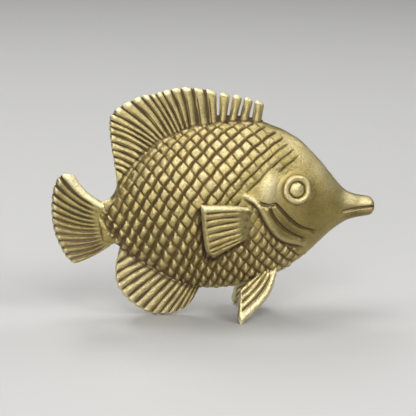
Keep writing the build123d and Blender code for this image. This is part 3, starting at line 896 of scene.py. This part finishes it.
@dataclass
class Eye:
    """A rounded ring round a domed pupil, in a hollow on the cheek."""

    centre: tuple[float, float] = (295.5, 190.2)
    ring_outer: float = 2.32
    ring_inner: float = 1.27
    ring_height: float = 0.52
    pupil: float = 1.22
    pupil_height: float = 0.55
    sunk: float = 0.7
    turns: int = 96

    def hollow(self, shown: Array) -> Relief:
        """A dark line round the ring and a low mound under it."""
        radius = SKETCH.from_spot(shown, self.centre)
        line = hill(radius - self.ring_outer - 0.06, 0.22)
        inside = 1 - smooth_step(self.ring_outer - 0.4, self.ring_outer, radius)
        mound = 1 - smooth_step(self.ring_outer, self.ring_outer + 0.9, radius)
        return Relief(0.16 * mound - 0.07 * line - 0.3 * inside, {Mark.RECESS: 0.35 * line})

    def revolved(self, radius: Array, height: Array, seat: tuple[Array, Array], closed: bool) -> Casting:
        """A profile turned round the normal of its seat.

        Args:
            radius: Distance of the profile from the axis.
            height: Height of the profile above the seat.
            seat: Place and unit normal.
            closed: Whether the profile ends where it starts; otherwise both its ends are capped.

        Returns:
            The casting, without its wear.
        """
        place, normal = seat
        across = unit_normals(np.array([0.0, 0.0, 1.0]), normal)
        up = np.cross(normal, across)
        turn = np.linspace(0.0, 2 * np.pi, self.turns, endpoint=False)
        spoke = np.cos(turn)[:, None] * across + np.sin(turn)[:, None] * up
        places = place + radius[None, :, None] * spoke[:, None, :] + height[None, :, None] * normal
        index = np.arange(self.turns * len(radius)).reshape(self.turns, -1)
        ring = np.concatenate([index, index[:1]], axis=0)
        caps = [] if closed else [index[:, 0][::-1], index[:, -1]]
        loop = np.concatenate([ring, ring[:, :1]], axis=1) if closed else ring
        return Casting(places.reshape(-1, 3), grid_quads(loop), caps)

    def build_ring(self, seat: tuple[Array, Array]) -> Casting:
        """A ring whose section is half an ellipse on a straight foot."""
        half, middle = (self.ring_outer - self.ring_inner) / 2, (self.ring_outer + self.ring_inner) / 2
        turn = np.linspace(np.pi, 0.0, 24)
        radius = np.concatenate([[middle - half], middle + half * np.cos(turn), [middle + half]])
        height = np.concatenate([[-self.sunk], self.ring_height * np.sin(turn) - 0.05, [-self.sunk]])
        casting = self.revolved(radius[::-1], height[::-1], seat, closed=True)
        # The ring's inner wall and foot are darkened as painted shade with tarnish, and its top is lightened
        # as a painted highlight.
        inner = np.concatenate([[1.0], (1 - smooth_step(0.05, 0.4, np.sin(turn))) * (turn > 1.6), [0.3]])
        crest = np.concatenate([[0.0], smooth_step(0.5, 1.0, np.sin(turn)), [0.0]])
        casting.marks[Mark.RECESS] = np.tile(inner[::-1], self.turns)
        casting.marks[Mark.CREST] = np.tile(crest[::-1] * 0.6, self.turns)
        return casting

    def build_pupil(self, seat: tuple[Array, Array]) -> Casting:
        """A dome, a quarter of an ellipse, on a straight stem."""
        turn = np.linspace(0.0, np.pi / 2 - 0.03, 20)
        radius = np.concatenate([[0.05, self.pupil], self.pupil * np.cos(turn)])
        height = np.concatenate([[-self.sunk, -self.sunk], self.pupil_height * np.sin(turn) - 0.08])
        casting = self.revolved(radius, height, seat, closed=False)
        # The pupil's foot is darkened as painted shade and its dome lightened as a painted highlight.
        rim = np.concatenate([[1.0, 1.0], 1 - smooth_step(0.0, 0.30, np.sin(turn))])
        crest = np.concatenate([[0.0, 0.0], np.sin(turn) * 0.7])
        casting.marks[Mark.RECESS] = np.tile(rim, self.turns)
        casting.marks[Mark.CREST] = np.tile(crest, self.turns)
        return casting

    def dress(self, body: Body, finish: bpy.types.Material) -> None:
        """Writes the ring and the pupil of both sides."""
        seat = body.surface_at(self.centre)
        for label, casting in (("eye_ring", self.build_ring(seat)), ("pupil", self.build_pupil(seat))):
            casting.write(f"cast_right_{label}", f"right_{label}", finish)
            casting.mirrored().write(f"cast_left_{label}", f"left_{label}", finish)


@dataclass
class RayedFin:
    """A plate of rounded rays between grooves.

    Lines drawn across the rays, from the root to the rim, are joined by a smooth run along each ray. Half the
    plate's thickness falls from root to rim, dips at each groove and rounds off at the rim and both ends.
    """

    nodes: tuple[str, ...]
    rays: int
    lines: tuple[Points, ...]
    centred: bool = False
    bow: tuple[float, float] = (0.0, 0.0)
    buried: float = 1.2
    thickness: tuple[float, float] = (1.7, 1.2)
    ray_widths: tuple[float, ...] = ()
    ridge: float = 0.75
    waver: float = 0.06
    groove_share: float = 0.5
    floor_marks: tuple[float, float] = (0.85, 0.0)
    patina: float = 0.0
    # Painted highlights along the outer edges of the first and last rays.
    bright_edges: tuple[float, float] = (0.0, 0.0)
    end_round: float = 0.5
    polish_and_highlight: float = 0.12
    # Painted highlight on the rim's tips, with wear.
    rim_highlight_and_wear: float = 0.7
    strand: float = 0.0
    groove_span: tuple[float, float] = (0.05, 1.1)
    groove_fades: tuple[float, float] = (0.15, 0.08)
    rim_span: tuple[float, float] = (0.92, 1.0)
    tip_span: tuple[float, float] = (0.89, 0.98)
    tip_round: float = 0.03
    spines: float = 0.0
    spine_round: float = 0.10
    spine_width: float = 0.69
    spine_cut: float = 0.45
    club: float = 0.18
    out: tuple[float, float] = (0.0, 0.0)
    out_curve: float = 1.0
    hug: float = 0.0
    # Painted shade where the fin's root meets the body.
    root_dark: float = 0.5
    root_stain: float = 0.0
    rows: int = 60
    row_crowding: float = 1.25
    columns_per_ray: int = 16

    def columns(self) -> Array:
        """Place of every column, counted in rays from the first edge."""
        return np.linspace(0.0, self.rays, self.rays * self.columns_per_ray + 1)

    def among_spines(self, ray: Array) -> Array:
        """Whether places, counted in rays, lie among the free spines at the last edge."""
        return ray > self.rays - self.spines

    def rulings(self, ray: Array) -> Array:
        """Where each column crosses the drawn lines.

        Args:
            ray: Places counted in rays.

        Returns:
            The crossings, (lines, columns, 2), the first one sunk below the root.
        """
        middles = np.concatenate([[0.0], np.arange(self.rays) + 0.5, [self.rays]])
        edges = np.concatenate([[0.0], np.cumsum(self.ray_widths or [1.0] * self.rays)])
        ray = np.interp(ray, np.arange(self.rays + 1), edges * self.rays / edges[-1])
        crossed = []
        for line in self.lines:
            knots = middles if self.centred else np.linspace(0.0, self.rays, len(line))
            crossed.append(through(knots, SKETCH.flat(line), ray))
        crossings = np.stack(crossed)
        run = crossings[1] - crossings[0]
        crossings[0] -= run / np.linalg.norm(run, axis=1, keepdims=True) * self.buried
        return crossings

    def reach(self, ray: Array, off: Array) -> Array:
        """How much of its length each column keeps: less beside rounded tips, far less between free spines.

        Args:
            ray: Places counted in rays.
            off: Distance from the middle of the ray, 1 in the groove.

        Returns:
            The shares.
        """
        free = self.among_spines(ray)
        half = np.where(free, self.spine_width, 1.0)
        tip = 1 - np.sqrt(1 - np.minimum(off / half, 1.0) ** 2)
        kept = 1 - np.where(free, self.spine_round, self.tip_round) * tip
        return np.where(free & (off > half), 1 - self.spine_cut, kept)

    def along_rays(self, crossings: Array, kept: Array) -> Array:
        """Places on smooth runs along every column, through its crossings.

        Args:
            crossings: Where the columns cross the drawn lines, (lines, columns, 2).
            kept: Share of the run from root to rim, (columns, rows).

        Returns:
            Places in the side plane, (columns, rows, 2).
        """
        steps = np.linspace(0.0, 1.0, len(self.lines))
        place = np.clip(np.searchsorted(steps, kept, side="right") - 1, 0, len(steps) - 2)
        slopes = np.gradient(crossings, steps, axis=0)
        column = np.arange(crossings.shape[1])[:, None]
        width = steps[1]
        t = ((kept - steps[place]) / width)[..., None]
        values = crossings[place, column], crossings[place + 1, column]
        return cubic(t, values, (slopes[place, column] * width, slopes[place + 1, column] * width))

    def grooves(self, ray: Array, off: Array, share: Array) -> tuple[Array, Array]:
        """How the plate dips between its rays.

        Across a ray the surface is part of an ellipse. The groove beside it wavers a little by two sine
        waves, and a fine strand runs along the ray where asked. Free spines are rounder bars.

        Args:
            ray: Places counted in rays, (columns, 1).
            off: Distance from the middle of the ray, 1 in the groove, (columns, 1).
            share: Share of the way from root to rim, (1, rows).

        Returns:
            How deep the surface dips and how far it is on a groove's floor, each (columns, rows).
        """
        (start, end), (rise, fall) = self.groove_span, self.groove_fades
        fade = smooth_step(start, start + rise, share) * (1 - smooth_step(end - fall, end, share))
        gap = np.round(ray)
        wavered = off + self.waver * np.sin(8.0 * share + 2.4 * gap) * (ray > gap)
        wavered = np.clip(wavered + self.waver * np.sin(11.0 * share + 5.1 * gap), 0.0, 1.0)
        wavered = np.where((ray < 0.5) | (ray > self.rays - 0.5), 0.0, wavered)
        free = self.among_spines(ray)
        dip = (1 - np.sqrt(1 - 0.96 * np.minimum(wavered / self.ridge, 1.0) ** 2)) * fade
        bar = 1 - np.sqrt(1 - 0.9 * np.minimum(off / self.spine_width, 1.0) ** 2)
        dip = np.where(free, np.maximum(bar, dip) * fade, dip)
        deep = smooth_step(self.ridge * 0.82, self.ridge * 1.04, wavered) * fade
        strand = self.strand * np.where(free, 0.0, hill(ray % 1.0 - 0.27, 0.06))
        strand = strand * fade * (1 - smooth_step(0.70, 0.90, share))
        return np.maximum(dip, 0.6 * strand), np.maximum(deep, strand)

    def plate(self) -> tuple[Array, Array, Array, Array]:
        """The plate's middle surface and thickness.

        Returns:
            Places in the side plane, (columns, rows, 2), half thickness, how far on a groove's floor and
            share of the way from root to rim, each (columns, rows).
        """
        ray = self.columns()
        off = np.abs(ray % 1.0 - 0.5) * 2
        crossings = self.rulings(ray)
        share = 1 - (1 - np.linspace(0.0, 1.0, self.rows)) ** self.row_crowding
        kept = self.reach(ray, off)[:, None] * share
        flat = self.along_rays(crossings, kept)
        run = crossings[-1] - crossings[0]
        side = np.stack([-run[:, 1], run[:, 0]], axis=1)[:, None, :]
        bow = np.linspace(*self.bow, len(ray))[:, None, None]
        flat = flat + bow * (4 * kept * (1 - kept))[..., None] * side
        spine = (self.among_spines(ray) & (off <= self.spine_width))[:, None]
        number = np.minimum(ray.astype(int), self.rays - 1)
        heart = flat[number * self.columns_per_ray + self.columns_per_ray // 2]
        flare = 1 + spine * self.club * (smooth_step(0.62, 0.95, share) - hill(share - 0.62, 0.2))
        flat = heart + (flat - heart) * flare[..., None]
        dip, deep = self.grooves(ray[:, None], off[:, None], share[None, :])
        from_end = np.minimum(ray, self.rays - ray)[:, None] / self.end_round
        ends = np.sqrt(1 - 0.95 * (1 - np.minimum(from_end, 1.0)) ** 2)
        rim = np.sqrt(1 - 0.95 * smooth_step(*self.rim_span, share) ** 2)
        half = blend(self.thickness, share) / 2 * (1 - self.groove_share * dip) * ends * rim
        return flat, half, deep, np.broadcast_to(share, deep.shape)

    def marks(self, flat: Array, deep: Array, share: Array) -> dict[Mark, Array]:
        """How the metal has aged over one face, with painted shade and painted highlights.

        Args:
            flat: Places in the side plane, (columns, rows, 2).
            deep: How far on a groove's floor.
            share: Share of the way from root to rim.

        Returns:
            The marks, each (columns, rows).
        """
        ray = self.columns()[:, None]
        length = np.linalg.norm(flat[:, -1] - flat[:, 0], axis=1)[:, None]
        # Painted shade where the fin meets the body.
        root = self.root_dark * hill(share * length - self.buried, 0.35)
        x, z = flat[..., 0], flat[..., 1]
        lumps = np.sin(4.1 * x + 1.7 * z) * np.sin(3.6 * z - 2.2 * x + 1.0)
        stain = self.root_stain * (1 - smooth_step(0.12, 0.40, share))
        # The web between free spines is darkened as painted shade with its tarnish.
        web = self.among_spines(ray) & (np.abs(ray % 1.0 - 0.5) * 2 > self.spine_width)
        # Painted highlights along the outer edges of the first and last rays.
        first = self.bright_edges[0] * (1 - smooth_step(0.5, 0.95, ray))
        last = self.bright_edges[1] * smooth_step(self.rays - 0.9, self.rays - 0.4, ray)
        edges = np.maximum(first, last)
        tips = smooth_step(*self.tip_span, share)
        filmed = self.floor_marks[1] * smooth_step(0.3 * self.rays, 0.6 * self.rays, ray)
        recess = np.where(web, 0.85, self.floor_marks[0] * (1 - 0.7 * filmed) * deep)
        recess = np.maximum(recess, np.maximum(root, stain * (0.55 + 0.6 * lumps)))
        # Ridges and tips lightened as painted highlights with polish.
        crest = (1 - deep) * (self.polish_and_highlight + self.rim_highlight_and_wear * tips)
        return {
            Mark.RECESS: recess,
            Mark.CREST: np.maximum(crest, edges * (1 - 0.5 * deep)),
            Mark.FILM: filmed * deep,
            Mark.PATINA: np.maximum(self.patina * (1 - 0.6 * tips) * (1 - edges), 4 * stain),
        }

    def build(self) -> Casting:
        """Both faces of the plate, closed round its border.

        Returns:
            The casting.
        """
        flat, half, deep, share = self.plate()
        out = blend(self.out, share**self.out_curve) + self.hug * flat[..., 1]
        middle = SKETCH.raised(flat, out)
        normal = unit_normals(np.gradient(middle, axis=0), np.gradient(middle, axis=1))
        if normal[..., 1].mean() > 0:
            normal = -normal
        faces = np.stack([middle + normal * half[..., None], middle - normal * half[..., None]])
        near, far = np.arange(half.size * 2).reshape(2, *half.shape)
        rims = (far[:, 0], near[:, 0]), (near[:, -1], far[:, -1]), (near[0], far[0]), (far[-1], near[-1])
        walls = [grid_quads(np.stack(rim, axis=1)) for rim in rims]
        quads = np.concatenate([grid_quads(near), grid_quads(far)[:, ::-1], *walls])
        middle_column, middle_row = half.shape[0] // 2, half.shape[1] // 2
        corner = middle[middle_column : middle_column + 2, middle_row : middle_row + 2]
        facing = np.cross(corner[1, 0] - corner[0, 0], corner[1, 1] - corner[1, 0])
        if np.dot(facing, normal[middle_column, middle_row]) < 0:
            quads = quads[:, ::-1]
        marks = {mark: np.tile(shares.ravel(), 2) for mark, shares in self.marks(flat, deep, share).items()}
        return Casting(faces.reshape(-1, 3), quads, [], marks)

    def dress(self, finish: bpy.types.Material) -> None:
        """Writes the fin, and its mirror image where it is one of a pair."""
        casting = self.build()
        casting.write(f"rayed_{self.nodes[0]}", self.nodes[0], finish)
        for node in self.nodes[1:]:
            casting.mirrored().write(f"rayed_{node}", node, finish)


DORSAL_FIN = RayedFin(
    nodes=("dorsal_fin",), rays=24,
    lines=(
        (
            (118.5, 189), (121, 180), (127, 172), (130, 168), (135, 163), (139, 158), (143, 153),
            (148, 149), (152, 146), (155, 143), (158, 141), (162, 139), (166, 137), (171, 135), (175, 133),
            (179, 132), (183, 130), (187, 128), (192, 126), (203, 125), (213, 123.5), (222, 122),
            (232, 121), (243, 121), (256, 122), (262, 123),
        ),
        (
            (117, 186), (116.3, 174), (115, 166), (114.5, 160), (113, 153), (112, 146), (111, 138),
            (110.5, 130), (110.5, 124), (111.5, 118), (117, 111), (126, 105.2), (137, 99.6), (146, 97),
            (153, 95.8), (159, 94.3), (166.5, 92.3), (176, 90.3), (187, 89.3), (198, 90), (211, 91.5),
            (224.5, 94.5), (237.5, 96.5), (248.5, 99), (259, 102.5), (265, 104.5),
        ),
    ),
    centred=True, bow=(-0.06, 0.0), spines=4.5, spine_cut=0.62, columns_per_ray=30, ridge=0.82,
    patina=0.25, tip_round=0.03, strand=0.8, groove_share=0.66, polish_and_highlight=0.28,
)
TAIL_FIN = RayedFin(
    nodes=("tail_fin",), rays=13,
    lines=(
        ((105, 200.5), (106, 209), (107, 217), (108, 224), (109, 231), (110, 237), (111, 243)),
        (
            (75, 174.4), (61.5, 175.6), (54.3, 189), (52.2, 204), (52.3, 217), (54.3, 231), (59, 244),
            (65.5, 256), (73.5, 264),
        ),
    ),
    bow=(0.10, 0.05), groove_span=(0.26, 1.1), root_dark=0.0, ridge=0.70, floor_marks=(0.9, 0.8), patina=0.85,
    bright_edges=(1.0, 0.2), columns_per_ray=20,
    ray_widths=(1.9, 1, 1, 1, 1, 1, 1, 1, 1, 1, 1, 1, 1.1),
)
ANAL_FIN = RayedFin(
    nodes=("anal_fin",), rays=14,
    lines=(
        (
            (120, 247), (132, 256), (142, 263), (150, 268), (158, 272.5), (166, 277), (174, 280.5),
            (181, 283.5), (187, 285.5), (192, 286.5), (196, 287), (199, 287),
        ),
        (
            (117.5, 255), (115, 266), (115, 279), (118.5, 289.5), (126, 299), (135, 306.5), (146, 313),
            (157, 315), (168, 314.6), (178, 312), (188, 305.5), (197, 292),
        ),
    ),
    bow=(-0.02, 0.02), groove_span=(0.05, 1.0), ridge=0.78, floor_marks=(0.82, 0.0), polish_and_highlight=0.45,
)
PECTORAL_FIN = RayedFin(
    nodes=("right_pectoral_fin", "left_pectoral_fin"), rays=8,
    lines=(
        ((254, 206), (254.5, 213), (254, 220), (253, 227), (251, 232), (248, 236.5)),
        ((226, 205), (226, 214), (226.5, 224), (227.5, 233), (229, 241), (231, 247)),
        ((201, 205.5), (202, 217), (203, 229), (204.3, 240), (206.5, 250.5), (213.5, 257)),
    ),
    buried=0.3, thickness=(1.5, 1.4), ridge=0.86, groove_share=0.48, groove_span=(0.26, 0.97), tip_round=0.0,
    ray_widths=(1.3, 1, 1, 1.2, 1.2, 1.1, 0.9, 1.2), out=(4.07, 6.17), out_curve=0.8, hug=0.05, root_dark=0.0,
    columns_per_ray=20, root_stain=0.55, patina=0.4, bright_edges=(0.8, 0.0), end_round=0.9, rim_highlight_and_wear=0.1,
)
PELVIC_FIN = RayedFin(
    nodes=("right_pelvic_fin", "left_pelvic_fin"), rays=4,
    lines=(
        ((262, 271), (265.5, 271), (269, 271.3), (273, 272), (277, 273)),
        ((251.5, 279), (253, 284.5), (257, 289.5), (262.7, 293.3), (268.6, 296.3)),
        ((240.5, 288), (239, 298), (238.2, 308), (237.2, 318), (241, 325.2)),
    ),
    buried=0.8, thickness=(1.5, 1.2), groove_span=(0.10, 0.95), out=(5.24, 5.24), hug=-0.484,
    columns_per_ray=24, ridge=0.86, bright_edges=(0.6, 1.0), floor_marks=(0.8, 0.0), polish_and_highlight=0.6,
    ray_widths=(1, 1, 1, 1.5), tip_round=0.0, root_dark=0.0,
)


class Signal:
    """A shader socket that can be used in sums, so that 1 - mask adds a Math node."""

    def __init__(self, bench: "Bench", socket: bpy.types.NodeSocket) -> None:
        """Keeps the socket and the bench that its nodes are added to.

        Args:
            bench: The bench.
            socket: An output socket.
        """
        self.bench = bench
        self.socket = socket

    def __add__(self, other: "Signal | float") -> "Signal":
        """This plus other."""
        return self.bench.maths("ADD", self, other)

    __radd__ = __add__

    def __sub__(self, other: "Signal | float") -> "Signal":
        """This minus other."""
        return self.bench.maths("SUBTRACT", self, other)

    def __rsub__(self, other: "Signal | float") -> "Signal":
        """Other minus this."""
        return self.bench.maths("SUBTRACT", other, self)

    def __mul__(self, other: "Signal | float") -> "Signal":
        """This times other."""
        return self.bench.maths("MULTIPLY", self, other)

    __rmul__ = __mul__

    def clamped(self) -> "Signal":
        """This, held between 0 and 1."""
        return self.bench.node("ShaderNodeClamp", {}, {"Value": self})

    def between(self, start: float, end: float) -> "Signal":
        """0 below start, 1 above end and smooth between them."""
        settings = {"interpolation_type": "SMOOTHSTEP"}
        limits = {"Value": self, "From Min": start, "From Max": end}
        return self.bench.node("ShaderNodeMapRange", settings, limits)


Value = Signal | float | tuple[float, ...]


class Bench:
    """One material's node tree, and the way to add nodes to it."""

    def __init__(self, name: str) -> None:
        """Starts an empty material.

        Args:
            name: The material's name.
        """
        self.material = bpy.data.materials.new(name)
        self.material.use_nodes = True
        self.tree = self.material.node_tree
        self.tree.nodes.clear()

    def node(
        self, kind: str, settings: dict[str, object], inputs: dict[str | int, Value], output: int | str = 0
    ) -> Signal:
        """Adds a node.

        Args:
            kind: Node type.
            settings: Properties, set first.
            inputs: Values or links by socket name or number.
            output: Which output to hand back.

        Returns:
            That output.
        """
        node = self.tree.nodes.new(kind)
        for key, value in settings.items():
            setattr(node, key, value)
        for key, value in inputs.items():
            if isinstance(value, Signal):
                self.tree.links.new(value.socket, node.inputs[key])
            else:
                node.inputs[key].default_value = value
        return Signal(self, node.outputs[output])

    def maths(self, operation: str, first: "Signal | float", second: "Signal | float") -> Signal:
        """Adds a Math node."""
        return self.node("ShaderNodeMath", {"operation": operation}, {0: first, 1: second})

    def mixed(self, share: "Signal | float", first: Value, second: Value) -> Signal:
        """Mixes two colours, first at share 0 and second at share 1."""
        return self.node("ShaderNodeMix", {"data_type": "RGBA"}, {0: share, 6: first, 7: second}, 2)

    def attribute(self, name: str) -> Signal:
        """A mesh attribute's number."""
        return self.node("ShaderNodeAttribute", {"attribute_name": name}, {}, "Fac")

    def noise(self, scale: float, detail: float) -> Signal:
        """Noise on Object coordinates, in features per metre."""
        place = self.node("ShaderNodeTexCoord", {}, {}, "Object")
        inputs = {"Vector": place, "Scale": scale, "Detail": detail, "Roughness": 0.6}
        return self.node("ShaderNodeTexNoise", {}, inputs)

    def finished(self, inputs: dict[str | int, Value]) -> bpy.types.Material:
        """Closes the tree with a Principled shader.

        Args:
            inputs: Values or links of the shader's sockets.

        Returns:
            The material.
        """
        shader = self.node("ShaderNodeBsdfPrincipled", {}, inputs)
        output = self.tree.nodes.new("ShaderNodeOutputMaterial")
        self.tree.links.new(shader.socket, output.inputs["Surface"])
        return self.material


@dataclass(frozen=True)
class AgedBrassAndPaintedLight:
    """Cast brass: olive gold, pale where handling polished it and where highlights are painted, darker olive
    under patina and painted shade, brown tarnish and near black painted shade in the recesses.

    A mauve film lies beside some of the grooves. The noises' scales are in features per metre.
    """

    gold: tuple[float, ...] = (0.49, 0.385, 0.145, 1.0)
    olive: tuple[float, ...] = (0.24, 0.192, 0.060, 1.0)
    speck: tuple[float, ...] = (0.17, 0.135, 0.050, 1.0)
    # Pale brass for polish and painted highlights.
    pale: tuple[float, ...] = (0.85, 0.757, 0.46, 1.0)
    mauve: tuple[float, ...] = (0.33, 0.25, 0.20, 1.0)
    tarnish: tuple[float, ...] = (0.135, 0.084, 0.036, 1.0)
    # Near black for the deepest grooves: painted shade with dark tarnish.
    dark_tarnish_and_shade: tuple[float, ...] = (0.036, 0.021, 0.008, 1.0)
    roughness: float = 0.31
    tarnish_roughness: float = 0.46
    cloud_scale: float = 180.0
    blotch_scale: float = 900.0
    grain_scale: float = 3300.0
    grain_height: float = 0.00016

    def build(self) -> bpy.types.Material:
        """Makes the material.

        Returns:
            The material.
        """
        bench = Bench(SLOT)
        cloud = bench.noise(self.cloud_scale, 3.0)
        blotch = bench.noise(self.blotch_scale, 4.0)
        grain = bench.noise(self.grain_scale, 5.0)
        recess, crest, film, patina = (bench.attribute(mark.value) for mark in Mark)
        # Tarnish and painted shade in the grooves, creases and at fin roots.
        stain = (recess + (blotch - 0.5) * 0.4).between(0.10, 0.62)
        deep = (recess + (blotch - 0.5) * 0.3).between(0.62, 1.0)
        # Olive for patina and painted shade.
        dull_and_shade = (cloud.between(0.4, 0.7) * 0.35 + patina + (blotch - 0.5) * 0.5).clamped()
        metal = bench.mixed(dull_and_shade, self.gold, self.olive)
        # Pale brass for polish and painted highlights.
        metal = bench.mixed((crest * (0.65 + blotch * 0.5)).clamped(), metal, self.pale)
        metal = bench.mixed(grain.between(0.50, 0.68) * (0.36 + 0.35 * patina), metal, self.speck)
        colour = bench.mixed(film, metal, self.mauve)
        colour = bench.mixed(stain * 0.92, colour, self.tarnish)
        colour = bench.mixed(deep * 0.9, colour, self.dark_tarnish_and_shade)
        rough = self.roughness + (grain - 0.5) * 0.3 + patina * 0.08
        rough = rough + stain * (self.tarnish_roughness - self.roughness)
        height = grain + blotch * (recess * 0.8 + 0.15)
        cast = {"Strength": 0.9, "Distance": self.grain_height, "Height": height}
        return bench.finished({
            "Base Color": colour,
            "Metallic": 1 - stain * 0.3 - deep * 0.4,
            "Roughness": rough.clamped(),
            "Normal": bench.node("ShaderNodeBump", {}, cast, "Normal"),
        })


@dataclass(frozen=True)
class Lamp:
    """A square soft lamp: its name, its place and side in metres, and its power in watts."""

    name: str
    place: tuple[float, float, float]
    side: float
    watts: float


LAMPS = (
    Lamp("top_lamp", (-0.18, 0.02, 0.42), 0.28, 0.80),
    Lamp("front_lamp", (0.0, -0.33, 0.30), 0.20, 0.80),
    Lamp("right_lamp", (0.30, -0.24, 0.33), 0.20, 0.96),
    Lamp("back_right_lamp", (0.30, 0.20, 0.30), 0.20, 0.48),
    Lamp("back_left_lamp", (-0.12, 0.30, 0.36), 0.20, 0.80),
    Lamp("overhead_lamp", (-0.02, 0.07, 0.42), 0.16, 0.42),
    Lamp("low_lamp", (-0.18, -0.42, 0.07), 0.20, 0.84),
)


@dataclass
class Studio:
    """A pale floor, soft lamps and a camera on the sketch's line of sight."""

    floor_colour: tuple[float, ...] = (0.47, 0.467, 0.456, 1.0)
    floor_roughness: float = 0.7
    floor_reach: float = 3.0
    lamps: tuple[Lamp, ...] = LAMPS
    lit_height: float = 0.018
    lens: float = 180.0
    sensor: float = 36.0
    clip: tuple[float, float] = (0.01, 20.0)
    frame_units: float = 416.0

    def floor(self) -> None:
        """A wide matt floor under the feet."""
        bench = Bench("studio_floor")
        mesh = bpy.data.meshes.new("studio_floor")
        reach = self.floor_reach
        corners = [(-reach, -reach, 0), (reach, -reach, 0), (reach, reach, 0), (-reach, reach, 0)]
        mesh.from_pydata(corners, [], [(0, 1, 2, 3)])
        matt = {"Base Color": self.floor_colour, "Roughness": self.floor_roughness}
        mesh.materials.append(bench.finished(matt))
        placed("studio_floor", mesh)

    def light(self, lamp: Lamp) -> None:
        """Hangs a lamp that points at the figurine's middle."""
        light = bpy.data.lights.new(lamp.name, "AREA")
        light.size = lamp.side
        light.energy = lamp.watts
        away = np.array(lamp.place) - np.array([0.0, 0.0, self.lit_height])
        back = away / np.linalg.norm(away)
        right = np.cross([0.0, 1.0, 0.0] if abs(back[2]) > 0.9 else [0.0, 0.0, 1.0], back)
        aim(placed(lamp.name, light), np.array(lamp.place), right / np.linalg.norm(right), back)

    def camera(self) -> None:
        """A long lens that sees the sketch's frame."""
        data = bpy.data.cameras.new("camera")
        data.lens = self.lens
        data.sensor_width = self.sensor
        data.clip_start, data.clip_end = self.clip
        turn, rise = SKETCH.turn, SKETCH.rise
        back = np.array([-sin(turn) * cos(rise), -cos(turn) * cos(rise), sin(rise)])
        right = np.array([cos(turn), -sin(turn), 0.0])
        x, z = SKETCH.flat([(self.frame_units / 2, self.frame_units / 2)])[0]
        distance = self.frame_units * SKETCH.unit * self.lens / self.sensor
        camera = placed("camera", data)
        aim(camera, (np.array([x, 0.0, z]) + back * distance) * MM, right, back)
        bpy.context.scene.camera = camera

    def build(self) -> None:
        """Sets up the floor, the lamps in a dark world, the camera and the picture's tone."""
        self.floor()
        world = bpy.data.worlds.new("studio")
        world.use_nodes = True
        world.node_tree.nodes["Background"].inputs["Strength"].default_value = 0.0
        bpy.context.scene.world = world
        for lamp in self.lamps:
            self.light(lamp)
        self.camera()
        view = bpy.context.scene.view_settings
        view.view_transform = "Standard"
        view.look = "None"


def main() -> None:
    """Builds and dresses the figurine, then sets up the studio."""
    logging.basicConfig(level=logging.INFO, format="%(name)s: %(message)s")
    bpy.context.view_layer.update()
    finish = AgedBrassAndPaintedLight().build()
    eye = Eye()
    body = Body()
    body.dress(eye, finish)
    eye.dress(body, finish)
    for fin in (DORSAL_FIN, TAIL_FIN, ANAL_FIN, PECTORAL_FIN, PELVIC_FIN):
        fin.dress(finish)
    Studio().build()


if __name__ == "__main__":
    main()
